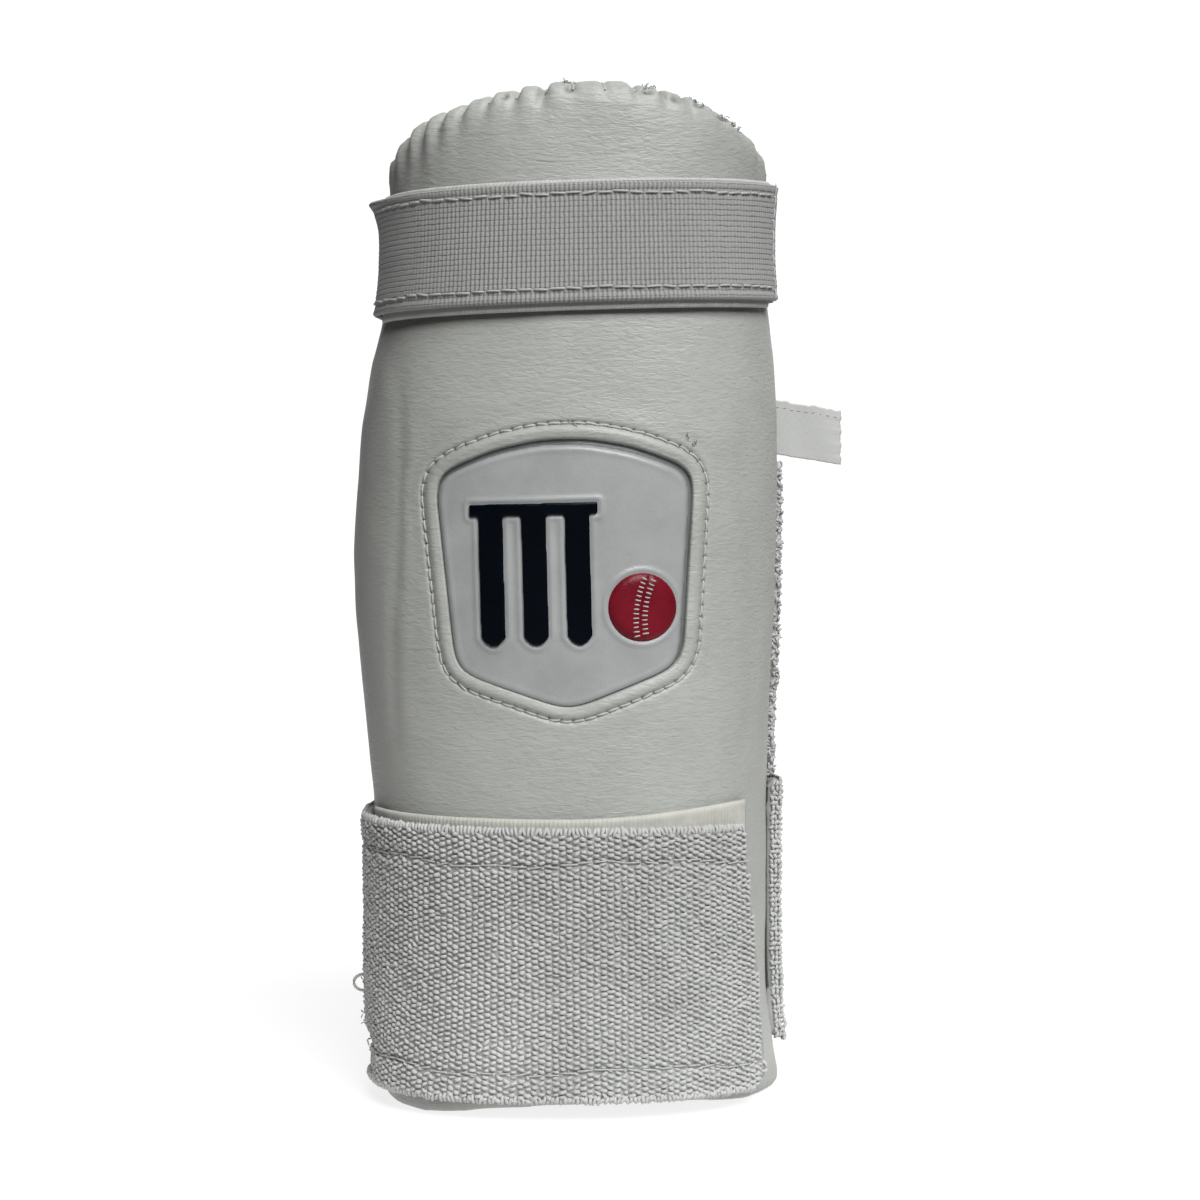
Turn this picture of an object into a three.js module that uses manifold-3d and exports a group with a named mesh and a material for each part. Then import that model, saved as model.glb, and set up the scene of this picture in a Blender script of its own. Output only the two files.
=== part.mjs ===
// A boy's cricket forearm guard that stands on its wrist end: a padded, leather-covered half tube with a
// gathered, rounded elbow end, a towelling lining, two elastic straps closed over the front, and a badge.
// Millimetres, +Z up to the elbow end. The padded front faces -Y and the open side faces +Y.

import * as THREE from "three";
import { mergeVertices } from "three/addons/utils/BufferGeometryUtils.js";
import Module from "manifold-3d";

const wasm = await Module();
wasm.setup();

// The padded shell
const guardHeight = 265;
const halfWidth = 57;
const frontDepth = 47; // from the front of the pad back to its widest line
const sideLength = 11; // the sides behind the widest line
const sideTuck = 2; // how far the back edges lean in
const padThickness = 10;
const edgeThickness = 6.5; // the wall at its two back edges
const elbowRise = 25; // the rounded end above its shoulders
const rimInset = 0.38; // the rim lies this share of the wall behind the front face
const backCornerDrop = 12; // the back corners below the shoulders
const cornerStart = 0.7; // share of the half outline at which they start to drop
const elbowLean = 4; // the elbow end leans back over the arm
const leanStart = 55; // below the top, where that lean begins
const rimRadius = 5; // rounding of the elbow end's rim
const hemRadius = 3; // rounding of the wrist end
const hemFlat = 0.72; // share of the wall that stays flat at the wrist end
const hemLift = 3.2; // the front of the hem stands clear of the ground
const gatherDepth = 1.9; // deepest pinch of the leather at a rim stitch
const gatherLength = 9; // the pinches fade over this length below the rim

// Clearances
const seatGap = 0.55; // between pieces that lie on each other
const badgeGap = 0.3;
const lipGap = 1.5; // above the wrist strap's sewn end
const labelGap = 3; // below the label

// The towelling lining
const liningThickness = 2;
const turnedHem = 11; // leather turned in around the lining
const liningEdge = 9; // the lining stops this far inside the back edges
const lipReach = 8; // the lining turned out round the right back edge
const lipSink = 0.2; // the turned lip is stitched down thinner by this much on each face
const lipTopThickness = 1.1; // and thins out towards its upper end

// The narrow elastic strap near the elbow
const elbowStrapWidth = 30.2;
const elbowStrapThickness = 1.6;
const elbowStrapDrop = 26.3; // its top edge below the top of the guard
const elbowStrapTilt = 2.1; // it stands this much higher on the right and lower on the left
const elbowStrapEnd = 74; // its free end, measured round the front from the middle
const elbowTapeWidth = 33;
const elbowTapeShift = -0.5; // the tape sits this much lower than the strap
const elbowTapeEnd = 63;
const elbowTapeStart = 60;

// The wide elastic strap at the wrist
const wristStrapWidth = 69.3;
const wristStrapThickness = 2.6;
const wristStrapLift = 5.4; // its lower edge above the ground
const wristStrapLower = 5.5; // its sewn end is this much narrower at the lower edge
const wristStrapRise = 7; // its sewn end stands this much higher
const wristStrapEnd = 57;
const wristStrapSag = 1.2; // its free end hangs a little lower
const wristStrapHem = 7; // doubled cloth at the free end
const wristHemThickness = 0.9;
const wristStrapRoll = 2.4; // the sewn end stands proud of the right side
const wristOverlap = 9; // the sewn end laps the right side by this much
const wristTapeWidth = 70;
const wristTapeShift = 2.4;
const wristTapeStart = 62;
const wristTapeEnd = 50;
const wristTapeTilt = 3; // its top edge rises by this much towards the right

const tapeThickness = 1.1;

// The badge: heights are measured from its middle
const badgeHeight = 138;
const badgeAcross = -1.2;
const badgeTurn = 1.5; // degrees, its left side hangs lower
const badgeTopHalf = 33.5;
const badgeLowHalf = 29.3;
const badgeShoulder = 28;
const badgeCrown = 8; // the top edge's rise between its shoulders
const badgeHip = 22;
const badgePoint = 11; // the point below the hips
const badgeCorner = 4;
const windowDepth = 2.4;
const plateThickness = 0.8;
const panelInset = 2.6;
const panelThickness = 1.9;
const reliefHeight = 1;

// The wicket and ball on the badge
const stumpWidth = 6.4;
const stumpGap = 4.6;
const stumpHeight = 34;
const stumpFoot = -17; // the stumps' feet from the badge's middle
const wicketAcross = -8;
const bailDepth = 3.2;
const bailOverhang = 2.2;
const ballRadius = 9.2;
const ballAcross = 19;
const ballDrop = 7;
const seamWidth = 1.4;
const seamDepth = 0.6;

// The folded size label at the right back edge
const labelWidth = 28;
const labelHeight = 14.8;
const labelThickness = 1;
const labelRise = 178.5; // the middle of the label above the ground
const labelInside = 4.5; // the part behind the guard's edge
const labelDroop = 9; // degrees

// The shell seen from above, by height: left and right are shares of halfWidth, front is a share of
// frontDepth, and the squares are the exponents of the superellipse on each side. Heights are shares of
// guardHeight.
const sections = [
  { height: 0.0, left: 0.9, right: 0.985, front: 0.975, leftSquare: 3.1, rightSquare: 1.9 },
  { height: 0.02, left: 0.9, right: 0.965, front: 0.97, leftSquare: 3.0, rightSquare: 2.05 },
  { height: 0.05, left: 0.912, right: 0.93, front: 0.96, leftSquare: 2.7, rightSquare: 2.25 },
  { height: 0.1, left: 0.928, right: 0.915, front: 0.955, leftSquare: 2.45, rightSquare: 2.35 },
  { height: 0.24, left: 0.932, right: 0.908, front: 0.95, leftSquare: 2.35, rightSquare: 2.35 },
  { height: 0.32, left: 0.958, right: 0.915, front: 0.97, leftSquare: 2.3, rightSquare: 2.3 },
  { height: 0.42, left: 1.0, right: 0.933, front: 1.0, leftSquare: 2.3, rightSquare: 2.3 },
  { height: 0.53, left: 1.035, right: 0.952, front: 1.0, leftSquare: 2.3, rightSquare: 2.3 },
  { height: 0.63, left: 1.01, right: 0.96, front: 0.99, leftSquare: 2.3, rightSquare: 2.3 },
  { height: 0.71, left: 0.968, right: 0.955, front: 0.972, leftSquare: 2.35, rightSquare: 2.35 },
  { height: 0.79, left: 0.875, right: 0.91, front: 0.95, leftSquare: 2.4, rightSquare: 2.4 },
  { height: 0.85, left: 0.855, right: 0.893, front: 0.94, leftSquare: 2.4, rightSquare: 2.4 },
  { height: 0.9, left: 0.875, right: 0.91, front: 0.94, leftSquare: 2.4, rightSquare: 2.4 },
  { height: 0.94, left: 0.915, right: 0.935, front: 0.943, leftSquare: 2.4, rightSquare: 2.4 },
  { height: 1.0, left: 0.92, right: 0.945, front: 0.95, leftSquare: 2.4, rightSquare: 2.4 },
];

// The rim of the elbow end seen from the front: across is a share of halfWidth, rise a share of elbowRise.
const rim = [
  { across: -0.95, rise: 0 },
  { across: -0.86, rise: 0.2 },
  { across: -0.8, rise: 0.38 },
  { across: -0.7, rise: 0.61 },
  { across: -0.5, rise: 0.79 },
  { across: -0.25, rise: 0.93 },
  { across: 0, rise: 1 },
  { across: 0.3, rise: 0.965 },
  { across: 0.5, rise: 0.88 },
  { across: 0.7, rise: 0.68 },
  { across: 0.8, rise: 0.5 },
  { across: 0.88, rise: 0.31 },
  { across: 0.97, rise: 0 },
];

// The wrist end seen from the front: lift is a share of hemLift, across a share of the half outline.
const hem = [
  { across: -1.0, lift: 0 },
  { across: -0.42, lift: 0 },
  { across: -0.2, lift: 0.7 },
  { across: 0.0, lift: 0.95 },
  { across: 0.2, lift: 1.0 },
  { across: 0.4, lift: 0.6 },
  { across: 0.56, lift: 0 },
  { across: 1.0, lift: 0 },
];

// Stitches that gather the leather round the rim: across is a share of the half outline, and pinch is a
// share of gatherDepth. The puffs lie between them.
const gathers = [
  { across: -0.9, pinch: 0.3 },
  { across: -0.76, pinch: 0.5 },
  { across: -0.65, pinch: 0.7 },
  { across: -0.57, pinch: 1.0 },
  { across: -0.5, pinch: 1.0 },
  { across: -0.43, pinch: 1.0 },
  { across: -0.355, pinch: 0.9 },
  { across: -0.27, pinch: 0.8 },
  { across: -0.18, pinch: 0.6 },
  { across: -0.09, pinch: 0.7 },
  { across: 0.01, pinch: 0.4 },
  { across: 0.11, pinch: 0.3 },
  { across: 0.21, pinch: 0.5 },
  { across: 0.3, pinch: 0.6 },
  { across: 0.38, pinch: 0.6 },
  { across: 0.48, pinch: 0.7 },
  { across: 0.57, pinch: 0.7 },
  { across: 0.67, pinch: 0.5 },
  { across: 0.78, pinch: 0.4 },
  { across: 0.9, pinch: 0.3 },
];

// Mesh density
const curveSteps = 40;
const sideSteps = 8;
const tipSteps = 14;
const gatherSteps = 3;
const edgeShares = [0.93, 0.965, 0.98, 0.99, 0.9975, 1];
const hemRows = [0, 0.35, 1, 2.6]; // in hem radii
const bodyRows = 13;
const rimRows = [13, 8, 4.5, 1.9, 0.5, 0];

const { clamp, lerp, smoothstep, degToRad } = THREE.MathUtils;

// A smooth curve through one column of a table.
function tableCurve(rows, at, column) {
  const places = rows.map((row) => row[at]);
  const curve = new THREE.CubicInterpolant(places, rows.map((row) => row[column]), 1);
  return (place) => curve.evaluate(clamp(place, places[0], places[places.length - 1]))[0];
}

const leftShare = tableCurve(sections, "height", "left");
const rightShare = tableCurve(sections, "height", "right");
const frontShare = tableCurve(sections, "height", "front");
const leftSquare = tableCurve(sections, "height", "leftSquare");
const rightSquare = tableCurve(sections, "height", "rightSquare");
const rimShare = tableCurve(rim, "across", "rise");
const hemShare = tableCurve(hem, "across", "lift");

// A polyline with a place and an outward normal for each share of its length.
function route(points, closed = false) {
  const last = points.length - 1;
  const lengths = [0];
  for (let i = 1; i <= last; i++) lengths.push(lengths[i - 1] + points[i].distanceTo(points[i - 1]));
  const normals = points.map((point, i) => {
    const before = points[i > 0 ? i - 1 : closed ? last - 1 : 0];
    const after = points[i < last ? i + 1 : closed ? 1 : last];
    const way = after.clone().sub(before).normalize();
    return new THREE.Vector2(way.y, -way.x);
  });
  const total = lengths[last];
  const at = (distance) => {
    const wanted = clamp(distance, 0, total);
    let i = 1;
    while (i < last && lengths[i] < wanted) i++;
    const share = (wanted - lengths[i - 1]) / (lengths[i] - lengths[i - 1]);
    return {
      point: points[i - 1].clone().lerp(points[i], share),
      normal: normals[i - 1].clone().lerp(normals[i], share).normalize(),
    };
  };
  return { total, lengths, at };
}

// The outer face of one half of the pad at a height, from the middle of the front to the back edge.
function outerHalf(height, side) {
  const share = clamp(height / guardHeight, 0, 1);
  const reach = halfWidth * (side < 0 ? leftShare(share) : rightShare(share));
  const front = frontDepth * frontShare(share);
  const power = 2 / (side < 0 ? leftSquare(share) : rightSquare(share));
  const lean = elbowLean * clamp(1 - (guardHeight - height) / leanStart, 0, 1) ** 2;
  const points = [];
  for (let i = 0; i <= curveSteps; i++) {
    const angle = ((Math.PI / 2) * i) / curveSteps;
    const across = i === curveSteps ? reach : reach * Math.sin(angle) ** power;
    const depth = i === curveSteps ? 0 : front * Math.cos(angle) ** power;
    points.push(new THREE.Vector2(side * across, lean - depth));
  }
  for (let i = 1; i <= sideSteps; i++) {
    const back = i / sideSteps;
    points.push(new THREE.Vector2(side * (reach - sideTuck * back ** 2), lean + sideLength * back));
  }
  return points;
}

const sectionStore = new Map();

// Both halves of the outer face at a height, as routes that start at the middle of the front.
function outerFace(height) {
  if (!sectionStore.has(height)) {
    const left = outerHalf(height, -1);
    const right = outerHalf(height, 1);
    const whole = route([...left.slice(1).reverse(), ...right]);
    const middle = whole.lengths[left.length - 1];
    sectionStore.set(height, { whole, left: middle, right: whole.total - middle });
  }
  return sectionStore.get(height);
}

// A point of the pad, at a share of the half outline and a depth below the outer face.
function padPoint(across, height, depth) {
  const face = outerFace(height);
  const { point, normal } = face.whole.at(face.left + across * (across < 0 ? face.left : face.right));
  return new THREE.Vector3(point.x - normal.x * depth, point.y - normal.y * depth, height);
}

// A quarter round that goes from 0 at an edge to 1 at its radius.
function quarterRound(distance, radius) {
  return Math.sqrt(Math.max(0, 1 - (1 - clamp(distance / radius, 0, 1)) ** 2));
}

// How far the leather is pinched in at a place along the rim, as a share of gatherDepth.
function gatherShare(across) {
  if (across <= gathers[0].across || across >= gathers[gathers.length - 1].across) return gathers[0].pinch;
  const next = gathers.findIndex((gather) => gather.across > across);
  const [from, to] = [gathers[next - 1], gathers[next]];
  const along = (across - from.across) / (to.across - from.across);
  return lerp(from.pinch, to.pinch, along) * (1 - Math.sin(Math.PI * along));
}

function wallAt(across) {
  return lerp(padThickness, edgeThickness, smoothstep(Math.abs(across), 0.45, 0.95));
}

function hemHeight(across) {
  return hemLift * Math.max(0, hemShare(across));
}

// The rim of the elbow end, with the back corners below it.
function rimHeight(across) {
  const ridge = padPoint(across, guardHeight - elbowRise / 2, wallAt(across) * rimInset);
  const dome = elbowRise * Math.max(0, rimShare(ridge.x / halfWidth));
  const corner = backCornerDrop * clamp((Math.abs(across) - cornerStart) / (1 - cornerStart), 0, 1);
  return guardHeight - elbowRise + dome - corner - gatherDepth * 0.6 * gatherShare(across);
}

// How far the rounding of a back edge takes the outer face inwards.
function roundedEdge(across) {
  const distance = (1 - Math.abs(across)) * outerFace(guardHeight / 2).right;
  return (wallAt(across) / 2) * (1 - quarterRound(distance, edgeThickness / 2));
}

// The two faces of the padded wall at a place and height, as depths below the outer face.
function wallDepths(across, height) {
  const wall = wallAt(across);
  const halfLength = outerFace(height).right;
  const edge = quarterRound((1 - Math.abs(across)) * halfLength, edgeThickness / 2);
  const below = rimHeight(across) - height;
  const rim = quarterRound(below, rimRadius);
  const foot = lerp(hemFlat, 1, quarterRound(height - hemHeight(across), hemRadius));
  const pinch = gatherDepth * gatherShare(across) * Math.exp(-below / gatherLength);
  const full = edge * foot;
  const outer = lerp(wall * rimInset, Math.min(pinch, wall / 3), rim);
  const inner = lerp(wall * rimInset, wall, rim);
  return {
    outer: lerp(wall / 2, outer, full),
    inner: lerp(wall / 2, inner, full),
  };
}

function addTriangle(list, a, b, c) {
  const tiny = 1e-4;
  if (a.distanceTo(b) < tiny || b.distanceTo(c) < tiny || c.distanceTo(a) < tiny) return;
  for (const corner of [a, b, c]) list.push(corner.x, corner.y, corner.z);
}

function addQuad(list, a, b, c, d) {
  addTriangle(list, a, b, c);
  addTriangle(list, a, c, d);
}

// A closed sheet: place(i, j) gives its outer and inner point, with i to the right and j up as seen
// from outside. Where the two points meet, the sheet closes on itself.
function sheet(columns, rows, place) {
  const outer = [];
  const inner = [];
  for (let i = 0; i <= columns; i++) {
    const pairs = [];
    for (let j = 0; j <= rows; j++) pairs.push(place(i, j));
    outer.push(pairs.map((pair) => pair[0]));
    inner.push(pairs.map((pair) => pair[1]));
  }
  const list = [];
  for (let i = 0; i < columns; i++) {
    for (let j = 0; j < rows; j++) {
      addQuad(list, outer[i][j], outer[i + 1][j], outer[i + 1][j + 1], outer[i][j + 1]);
      addQuad(list, inner[i][j], inner[i][j + 1], inner[i + 1][j + 1], inner[i + 1][j]);
    }
    addQuad(list, inner[i][0], inner[i + 1][0], outer[i + 1][0], outer[i][0]);
    addQuad(list, outer[i][rows], outer[i + 1][rows], inner[i + 1][rows], inner[i][rows]);
  }
  for (let j = 0; j < rows; j++) {
    addQuad(list, outer[0][j], outer[0][j + 1], inner[0][j + 1], inner[0][j]);
    addQuad(list, outer[columns][j], inner[columns][j], inner[columns][j + 1], outer[columns][j + 1]);
  }
  const geometry = new THREE.BufferGeometry();
  geometry.setAttribute("position", new THREE.Float32BufferAttribute(list, 3));
  return geometry;
}

function toSolid(geometry) {
  const bare = geometry.index ? geometry.toNonIndexed() : geometry.clone();
  bare.deleteAttribute("normal");
  bare.deleteAttribute("uv");
  const merged = mergeVertices(bare, 1e-4);
  return new wasm.Manifold(
    new wasm.Mesh({
      numProp: 3,
      vertProperties: merged.attributes.position.array,
      triVerts: new Uint32Array(merged.index.array),
    }),
  );
}

function toGeometry(solid) {
  const mesh = solid.getMesh();
  const geometry = new THREE.BufferGeometry();
  geometry.setAttribute("position", new THREE.BufferAttribute(mesh.vertProperties.slice(), 3));
  geometry.setIndex(new THREE.BufferAttribute(mesh.triVerts.slice(), 1));
  return geometry;
}

// The columns of the shell: finer across the rounded back edges, and a few for each gathered puff.
function shellColumns() {
  const columns = [];
  for (let i = 1; i < gathers.length; i++) {
    const [from, to] = [gathers[i - 1].across, gathers[i].across];
    for (let k = 0; k < gatherSteps; k++) columns.push(lerp(from, to, k / gatherSteps));
  }
  columns.push(gathers[gathers.length - 1].across);
  const edge = edgeShares.map((share) => -share).reverse();
  return [...edge, ...columns, ...edgeShares];
}

function shellGeometry() {
  const columns = shellColumns();
  const last = hemRows.length - 1;
  const rowHeight = (across, j) => {
    const low = hemHeight(across);
    const top = rimHeight(across);
    if (j <= last) return low + hemRows[j] * hemRadius;
    if (j >= last + bodyRows) return top - rimRows[j - last - bodyRows];
    return lerp(low + hemRows[last] * hemRadius, top - rimRows[0], (j - last) / bodyRows);
  };
  return sheet(columns.length - 1, last + bodyRows + rimRows.length - 1, (i, j) => {
    const across = columns[i];
    const height = rowHeight(across, j);
    const depths = wallDepths(across, height);
    return [padPoint(across, height, depths.outer), padPoint(across, height, depths.inner)];
  });
}

// The outline of the badge in the front view, shrunk by an inset.
function shieldShape(inset) {
  const top = badgeTopHalf - inset;
  const low = badgeLowHalf - inset;
  const corners = [
    [-top, badgeShoulder - inset],
    [0, badgeShoulder + 2 * badgeCrown - inset],
    [top, badgeShoulder - inset],
    [low, -badgeHip],
    [0, -badgeHip - badgePoint + inset],
    [-low, -badgeHip],
  ].map(([x, y]) => new THREE.Vector2(x, y));
  const shape = new THREE.Shape();
  const round = (index) => {
    const corner = corners[index];
    const before = corners[(index + corners.length - 1) % corners.length];
    const after = corners[(index + 1) % corners.length];
    const enter = corner.clone().add(before.clone().sub(corner).setLength(badgeCorner));
    const leave = corner.clone().add(after.clone().sub(corner).setLength(badgeCorner));
    return { corner, enter, leave };
  };
  const first = round(0);
  shape.moveTo(first.leave.x, first.leave.y);
  const crown = round(2);
  shape.quadraticCurveTo(corners[1].x, corners[1].y, crown.enter.x, crown.enter.y);
  for (const index of [2, 3, 4, 5, 0]) {
    const { corner, enter, leave } = round(index);
    shape.lineTo(enter.x, enter.y);
    shape.quadraticCurveTo(corner.x, corner.y, leave.x, leave.y);
  }
  return shape;
}

// A front-view outline carried through the guard as a prism along Y.
function frontPrism(shape) {
  const geometry = new THREE.ExtrudeGeometry(shape, {
    depth: frontDepth,
    bevelEnabled: false,
    curveSegments: 5,
  });
  geometry.rotateZ(degToRad(badgeTurn));
  geometry.rotateX(Math.PI / 2);
  geometry.translate(badgeAcross, -frontDepth / 4, badgeHeight);
  return toSolid(geometry);
}

// A layer that follows the front of the pad, between two depths below its outer face.
function frontLayer(outerDepth, innerDepth) {
  const columns = 16;
  const rows = 5;
  const margin = 6;
  const low = badgeHeight - badgeHip - badgePoint - margin;
  const high = badgeHeight + badgeShoulder + badgeCrown + margin;
  const reach = (badgeTopHalf + 2 * margin) / outerFace(badgeHeight).right;
  return toSolid(
    sheet(columns, rows, (i, j) => {
      const across = lerp(-reach, reach, i / columns);
      const height = lerp(low, high, j / rows);
      return [padPoint(across, height, outerDepth), padPoint(across, height, innerDepth)];
    }),
  );
}

function paddedShell() {
  const window = frontPrism(shieldShape(0)).intersect(frontLayer(-4, windowDepth));
  return toGeometry(toSolid(shellGeometry()).subtract(window));
}

function badgePlate() {
  const floor = windowDepth - badgeGap;
  const plate = frontPrism(shieldShape(badgeGap)).intersect(frontLayer(floor - plateThickness, floor));
  const panel = frontPrism(shieldShape(panelInset)).intersect(frontLayer(floor - panelThickness, floor));
  return toGeometry(plate.add(panel));
}

// A raised outline that lies on the badge's panel.
function badgeRelief(shape) {
  const seat = windowDepth - badgeGap - panelThickness - badgeGap;
  return frontPrism(shape).intersect(frontLayer(seat - reliefHeight, seat));
}

// Three stumps joined by the bails.
function wicketShape() {
  const pitch = stumpWidth + stumpGap;
  const left = wicketAcross - pitch - stumpWidth / 2;
  const right = wicketAcross + pitch + stumpWidth / 2;
  const head = stumpFoot + stumpHeight;
  const shape = new THREE.Shape();
  shape.moveTo(left - bailOverhang, head);
  for (let k = 0; k < 3; k++) {
    const from = left + k * pitch;
    shape.lineTo(from, head);
    shape.lineTo(from, stumpFoot + stumpWidth / 2);
    shape.quadraticCurveTo(from + stumpWidth / 2, stumpFoot - stumpWidth / 4, from + stumpWidth,
      stumpFoot + stumpWidth / 2);
    shape.lineTo(from + stumpWidth, head);
  }
  shape.lineTo(right + bailOverhang, head);
  shape.lineTo(right + bailOverhang, head + bailDepth);
  shape.lineTo(left - bailOverhang, head + bailDepth);
  return shape;
}

function badgeWicket() {
  return toGeometry(badgeRelief(wicketShape()));
}

// A ball with one sunken seam.
function badgeBall() {
  const disc = new THREE.Shape();
  disc.absarc(ballAcross, -ballDrop, ballRadius, 0, 2 * Math.PI);
  const seam = new THREE.Shape();
  const lean = ballRadius * 0.8;
  seam.absarc(ballAcross - lean * 1.6, -ballDrop + lean * 0.4, lean * 2, -1.3, 0.95, false);
  seam.absarc(ballAcross - lean * 1.6, -ballDrop + lean * 0.4, lean * 2 - seamWidth, 0.95, -1.3, true);
  const seat = windowDepth - badgeGap - panelThickness - badgeGap;
  const groove = frontPrism(seam).intersect(frontLayer(seat - 2 * reliefHeight, seat - reliefHeight + seamDepth));
  return toGeometry(badgeRelief(disc).subtract(groove));
}

// The way round the guard at a height, on the leather in front and straight across the open back.
// Position 0 is the middle of the front, 1 and -1 the back edges, and -1 to -3 the stretch behind the arm.
const bandStore = new Map();
function bandRoute(height) {
  if (!bandStore.has(height)) {
    const points = [];
    const steps = curveSteps + tipSteps;
    for (let i = -steps; i <= steps; i++) {
      const side = Math.abs(i) / steps;
      const across = Math.sign(i) * (side < 0.7 ? side * 1.3 : 0.91 + 0.09 * Math.sin(((side - 0.7) / 0.3) * 1.5708));
      const point = padPoint(across, height, roundedEdge(across));
      points.push(new THREE.Vector2(point.x, point.y));
    }
    const [left, right] = [points[0], points[points.length - 1]];
    const front = points.length - 1;
    for (let i = 1; i < tipSteps; i++) points.push(right.clone().lerp(left, i / tipSteps));
    points.push(left.clone());
    const whole = route(points, true);
    const middle = whole.lengths[steps];
    bandStore.set(height, { whole, middle, left: middle, right: whole.lengths[front] - middle });
  }
  return bandStore.get(height);
}

function bandPoint(position, height, lift) {
  const band = bandRoute(height);
  const behind = band.whole.total - band.left - band.right;
  let distance = band.middle + position * (position < 0 ? band.left : band.right);
  if (position < -1) distance = band.whole.total + ((position + 1) / 2) * behind;
  if (position < -3) distance = band.middle + (position + 4) * band.right;
  const { point, normal } = band.whole.at(distance);
  return new THREE.Vector3(point.x + normal.x * lift, point.y + normal.y * lift, height);
}

// A position round the guard for a distance from the middle of the front.
function positionAt(distance, height) {
  const band = bandRoute(height);
  return distance / (distance < 0 ? band.left : band.right);
}

// Positions along a band, finer round the back edges.
function bandStops(from, to) {
  const knots = [
    { at: -4, steps: 5 },
    { at: -3.06, steps: 5 },
    { at: -3, steps: 3 },
    { at: -2.94, steps: 4 },
    { at: -1.06, steps: 3 },
    { at: -1, steps: 6 },
    { at: -0.94, steps: 27 },
    { at: 1, steps: 0 },
  ];
  const stops = [from];
  for (let k = 0; k + 1 < knots.length; k++) {
    for (let i = 0; i < knots[k].steps; i++) {
      const stop = lerp(knots[k].at, knots[k + 1].at, i / knots[k].steps);
      if (stop > from + 0.008 && stop < to - 0.008) stops.push(stop);
    }
  }
  stops.push(to);
  return stops;
}

// A band on the guard between two positions, with its height and lift worked out at each place.
function bandGeometry({ from, to, rows, low, high, lift, thickness }) {
  const stops = bandStops(from, to);
  return sheet(stops.length - 1, rows, (i, j) => {
    const position = stops[i];
    const height = lerp(low(position), high(position), j / rows);
    const under = lift(position);
    return [
      bandPoint(position, height, under + thickness(position)),
      bandPoint(position, height, under),
    ];
  });
}

const elbowStrapTop = guardHeight - elbowStrapDrop;
const elbowStrapMiddle = elbowStrapTop - elbowStrapWidth / 2;
const wristStrapMiddle = wristStrapLift + wristStrapWidth / 2;
const wristStrapTop = wristStrapLift + wristStrapWidth;
const onTape = seatGap + tapeThickness + seatGap;

// A strap lies on its tape in front, and on the leather and lining elsewhere.
function strapLift(position, tapeStart, tapeEnd) {
  const past = position < 0 ? -position - tapeStart : position - tapeEnd;
  return lerp(onTape, seatGap, smoothstep(past, 0.02, 0.12));
}

// The elbow strap and its tape lie a little askew.
function elbowTilt(position) {
  const share = position < -1 ? -2 - position : clamp(position / 0.7, -1, 1);
  return elbowStrapTilt * share;
}

function elbowTape() {
  const middle = elbowStrapMiddle + elbowTapeShift;
  return bandGeometry({
    from: positionAt(-elbowTapeStart, middle),
    to: positionAt(elbowTapeEnd, middle),
    rows: 3,
    low: (position) => middle + elbowTilt(position) - elbowTapeWidth / 2,
    high: (position) => middle + elbowTilt(position) + elbowTapeWidth / 2,
    lift: () => seatGap,
    thickness: () => tapeThickness,
  });
}

function elbowStrap() {
  const tapeStart = -positionAt(-elbowTapeStart, elbowStrapMiddle);
  const tapeEnd = positionAt(elbowTapeEnd, elbowStrapMiddle);
  return bandGeometry({
    from: -2.985,
    to: positionAt(elbowStrapEnd, elbowStrapMiddle),
    rows: 3,
    low: (position) => elbowStrapTop + elbowTilt(position) - elbowStrapWidth,
    high: (position) => elbowStrapTop + elbowTilt(position),
    lift: (position) => strapLift(position, tapeStart, tapeEnd),
    thickness: () => elbowStrapThickness,
  });
}

function wristTape() {
  const middle = wristStrapMiddle + wristTapeShift;
  const end = positionAt(wristTapeEnd, middle);
  return bandGeometry({
    from: positionAt(-wristTapeStart, middle),
    to: end,
    rows: 4,
    low: () => middle - wristTapeWidth / 2,
    high: (position) => middle + wristTapeWidth / 2 + wristTapeTilt * smoothstep(position, 0, end),
    lift: () => seatGap,
    thickness: () => tapeThickness,
  });
}

function wristStrap() {
  const end = positionAt(wristStrapEnd, wristStrapMiddle);
  const hemStart = positionAt(wristStrapEnd - wristStrapHem, wristStrapMiddle);
  const lap = positionAt(wristOverlap, wristStrapMiddle);
  const tapeStart = -positionAt(-wristTapeStart, wristStrapMiddle);
  const tapeEnd = positionAt(wristTapeEnd, wristStrapMiddle);
  const sag = (position) => wristStrapSag * clamp(position / end, 0, 1) ** 2;
  const rolled = (position) => wristStrapRoll * smoothstep(-position, 3 - lap, 3);
  const lower = (position) => wristStrapLower * smoothstep(-position, 1.2, 3);
  const rise = (position) => wristStrapRise * smoothstep(-position, 1.2, 3);
  return bandGeometry({
    from: -3 - lap,
    to: end,
    rows: 5,
    low: (position) => wristStrapLift - sag(position) + lower(position),
    high: (position) => wristStrapTop - sag(position) + rise(position),
    lift: (position) => strapLift(position, tapeStart, tapeEnd),
    thickness: (position) =>
      wristStrapThickness + rolled(position) + (position > hemStart ? wristHemThickness : 0),
  });
}

// The lining's way across the inside of the shell, round the right back edge and on to the outside.
function liningPoint(position, height, lift) {
  const inside = position <= 1;
  const across = inside ? position : 2 - position;
  const depths = wallDepths(across, Math.max(height, hemHeight(across)));
  const near = 1e-3;
  const here = padPoint(across, height, inside ? depths.inner : depths.outer);
  const before = across - (inside ? near : -near);
  const other = wallDepths(before, height);
  const there = padPoint(before, height, inside ? other.inner : other.outer);
  const way = here.clone().sub(there);
  way.z = 0;
  way.normalize();
  return new THREE.Vector3(here.x - way.y * lift, here.y + way.x * lift, height);
}

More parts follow.
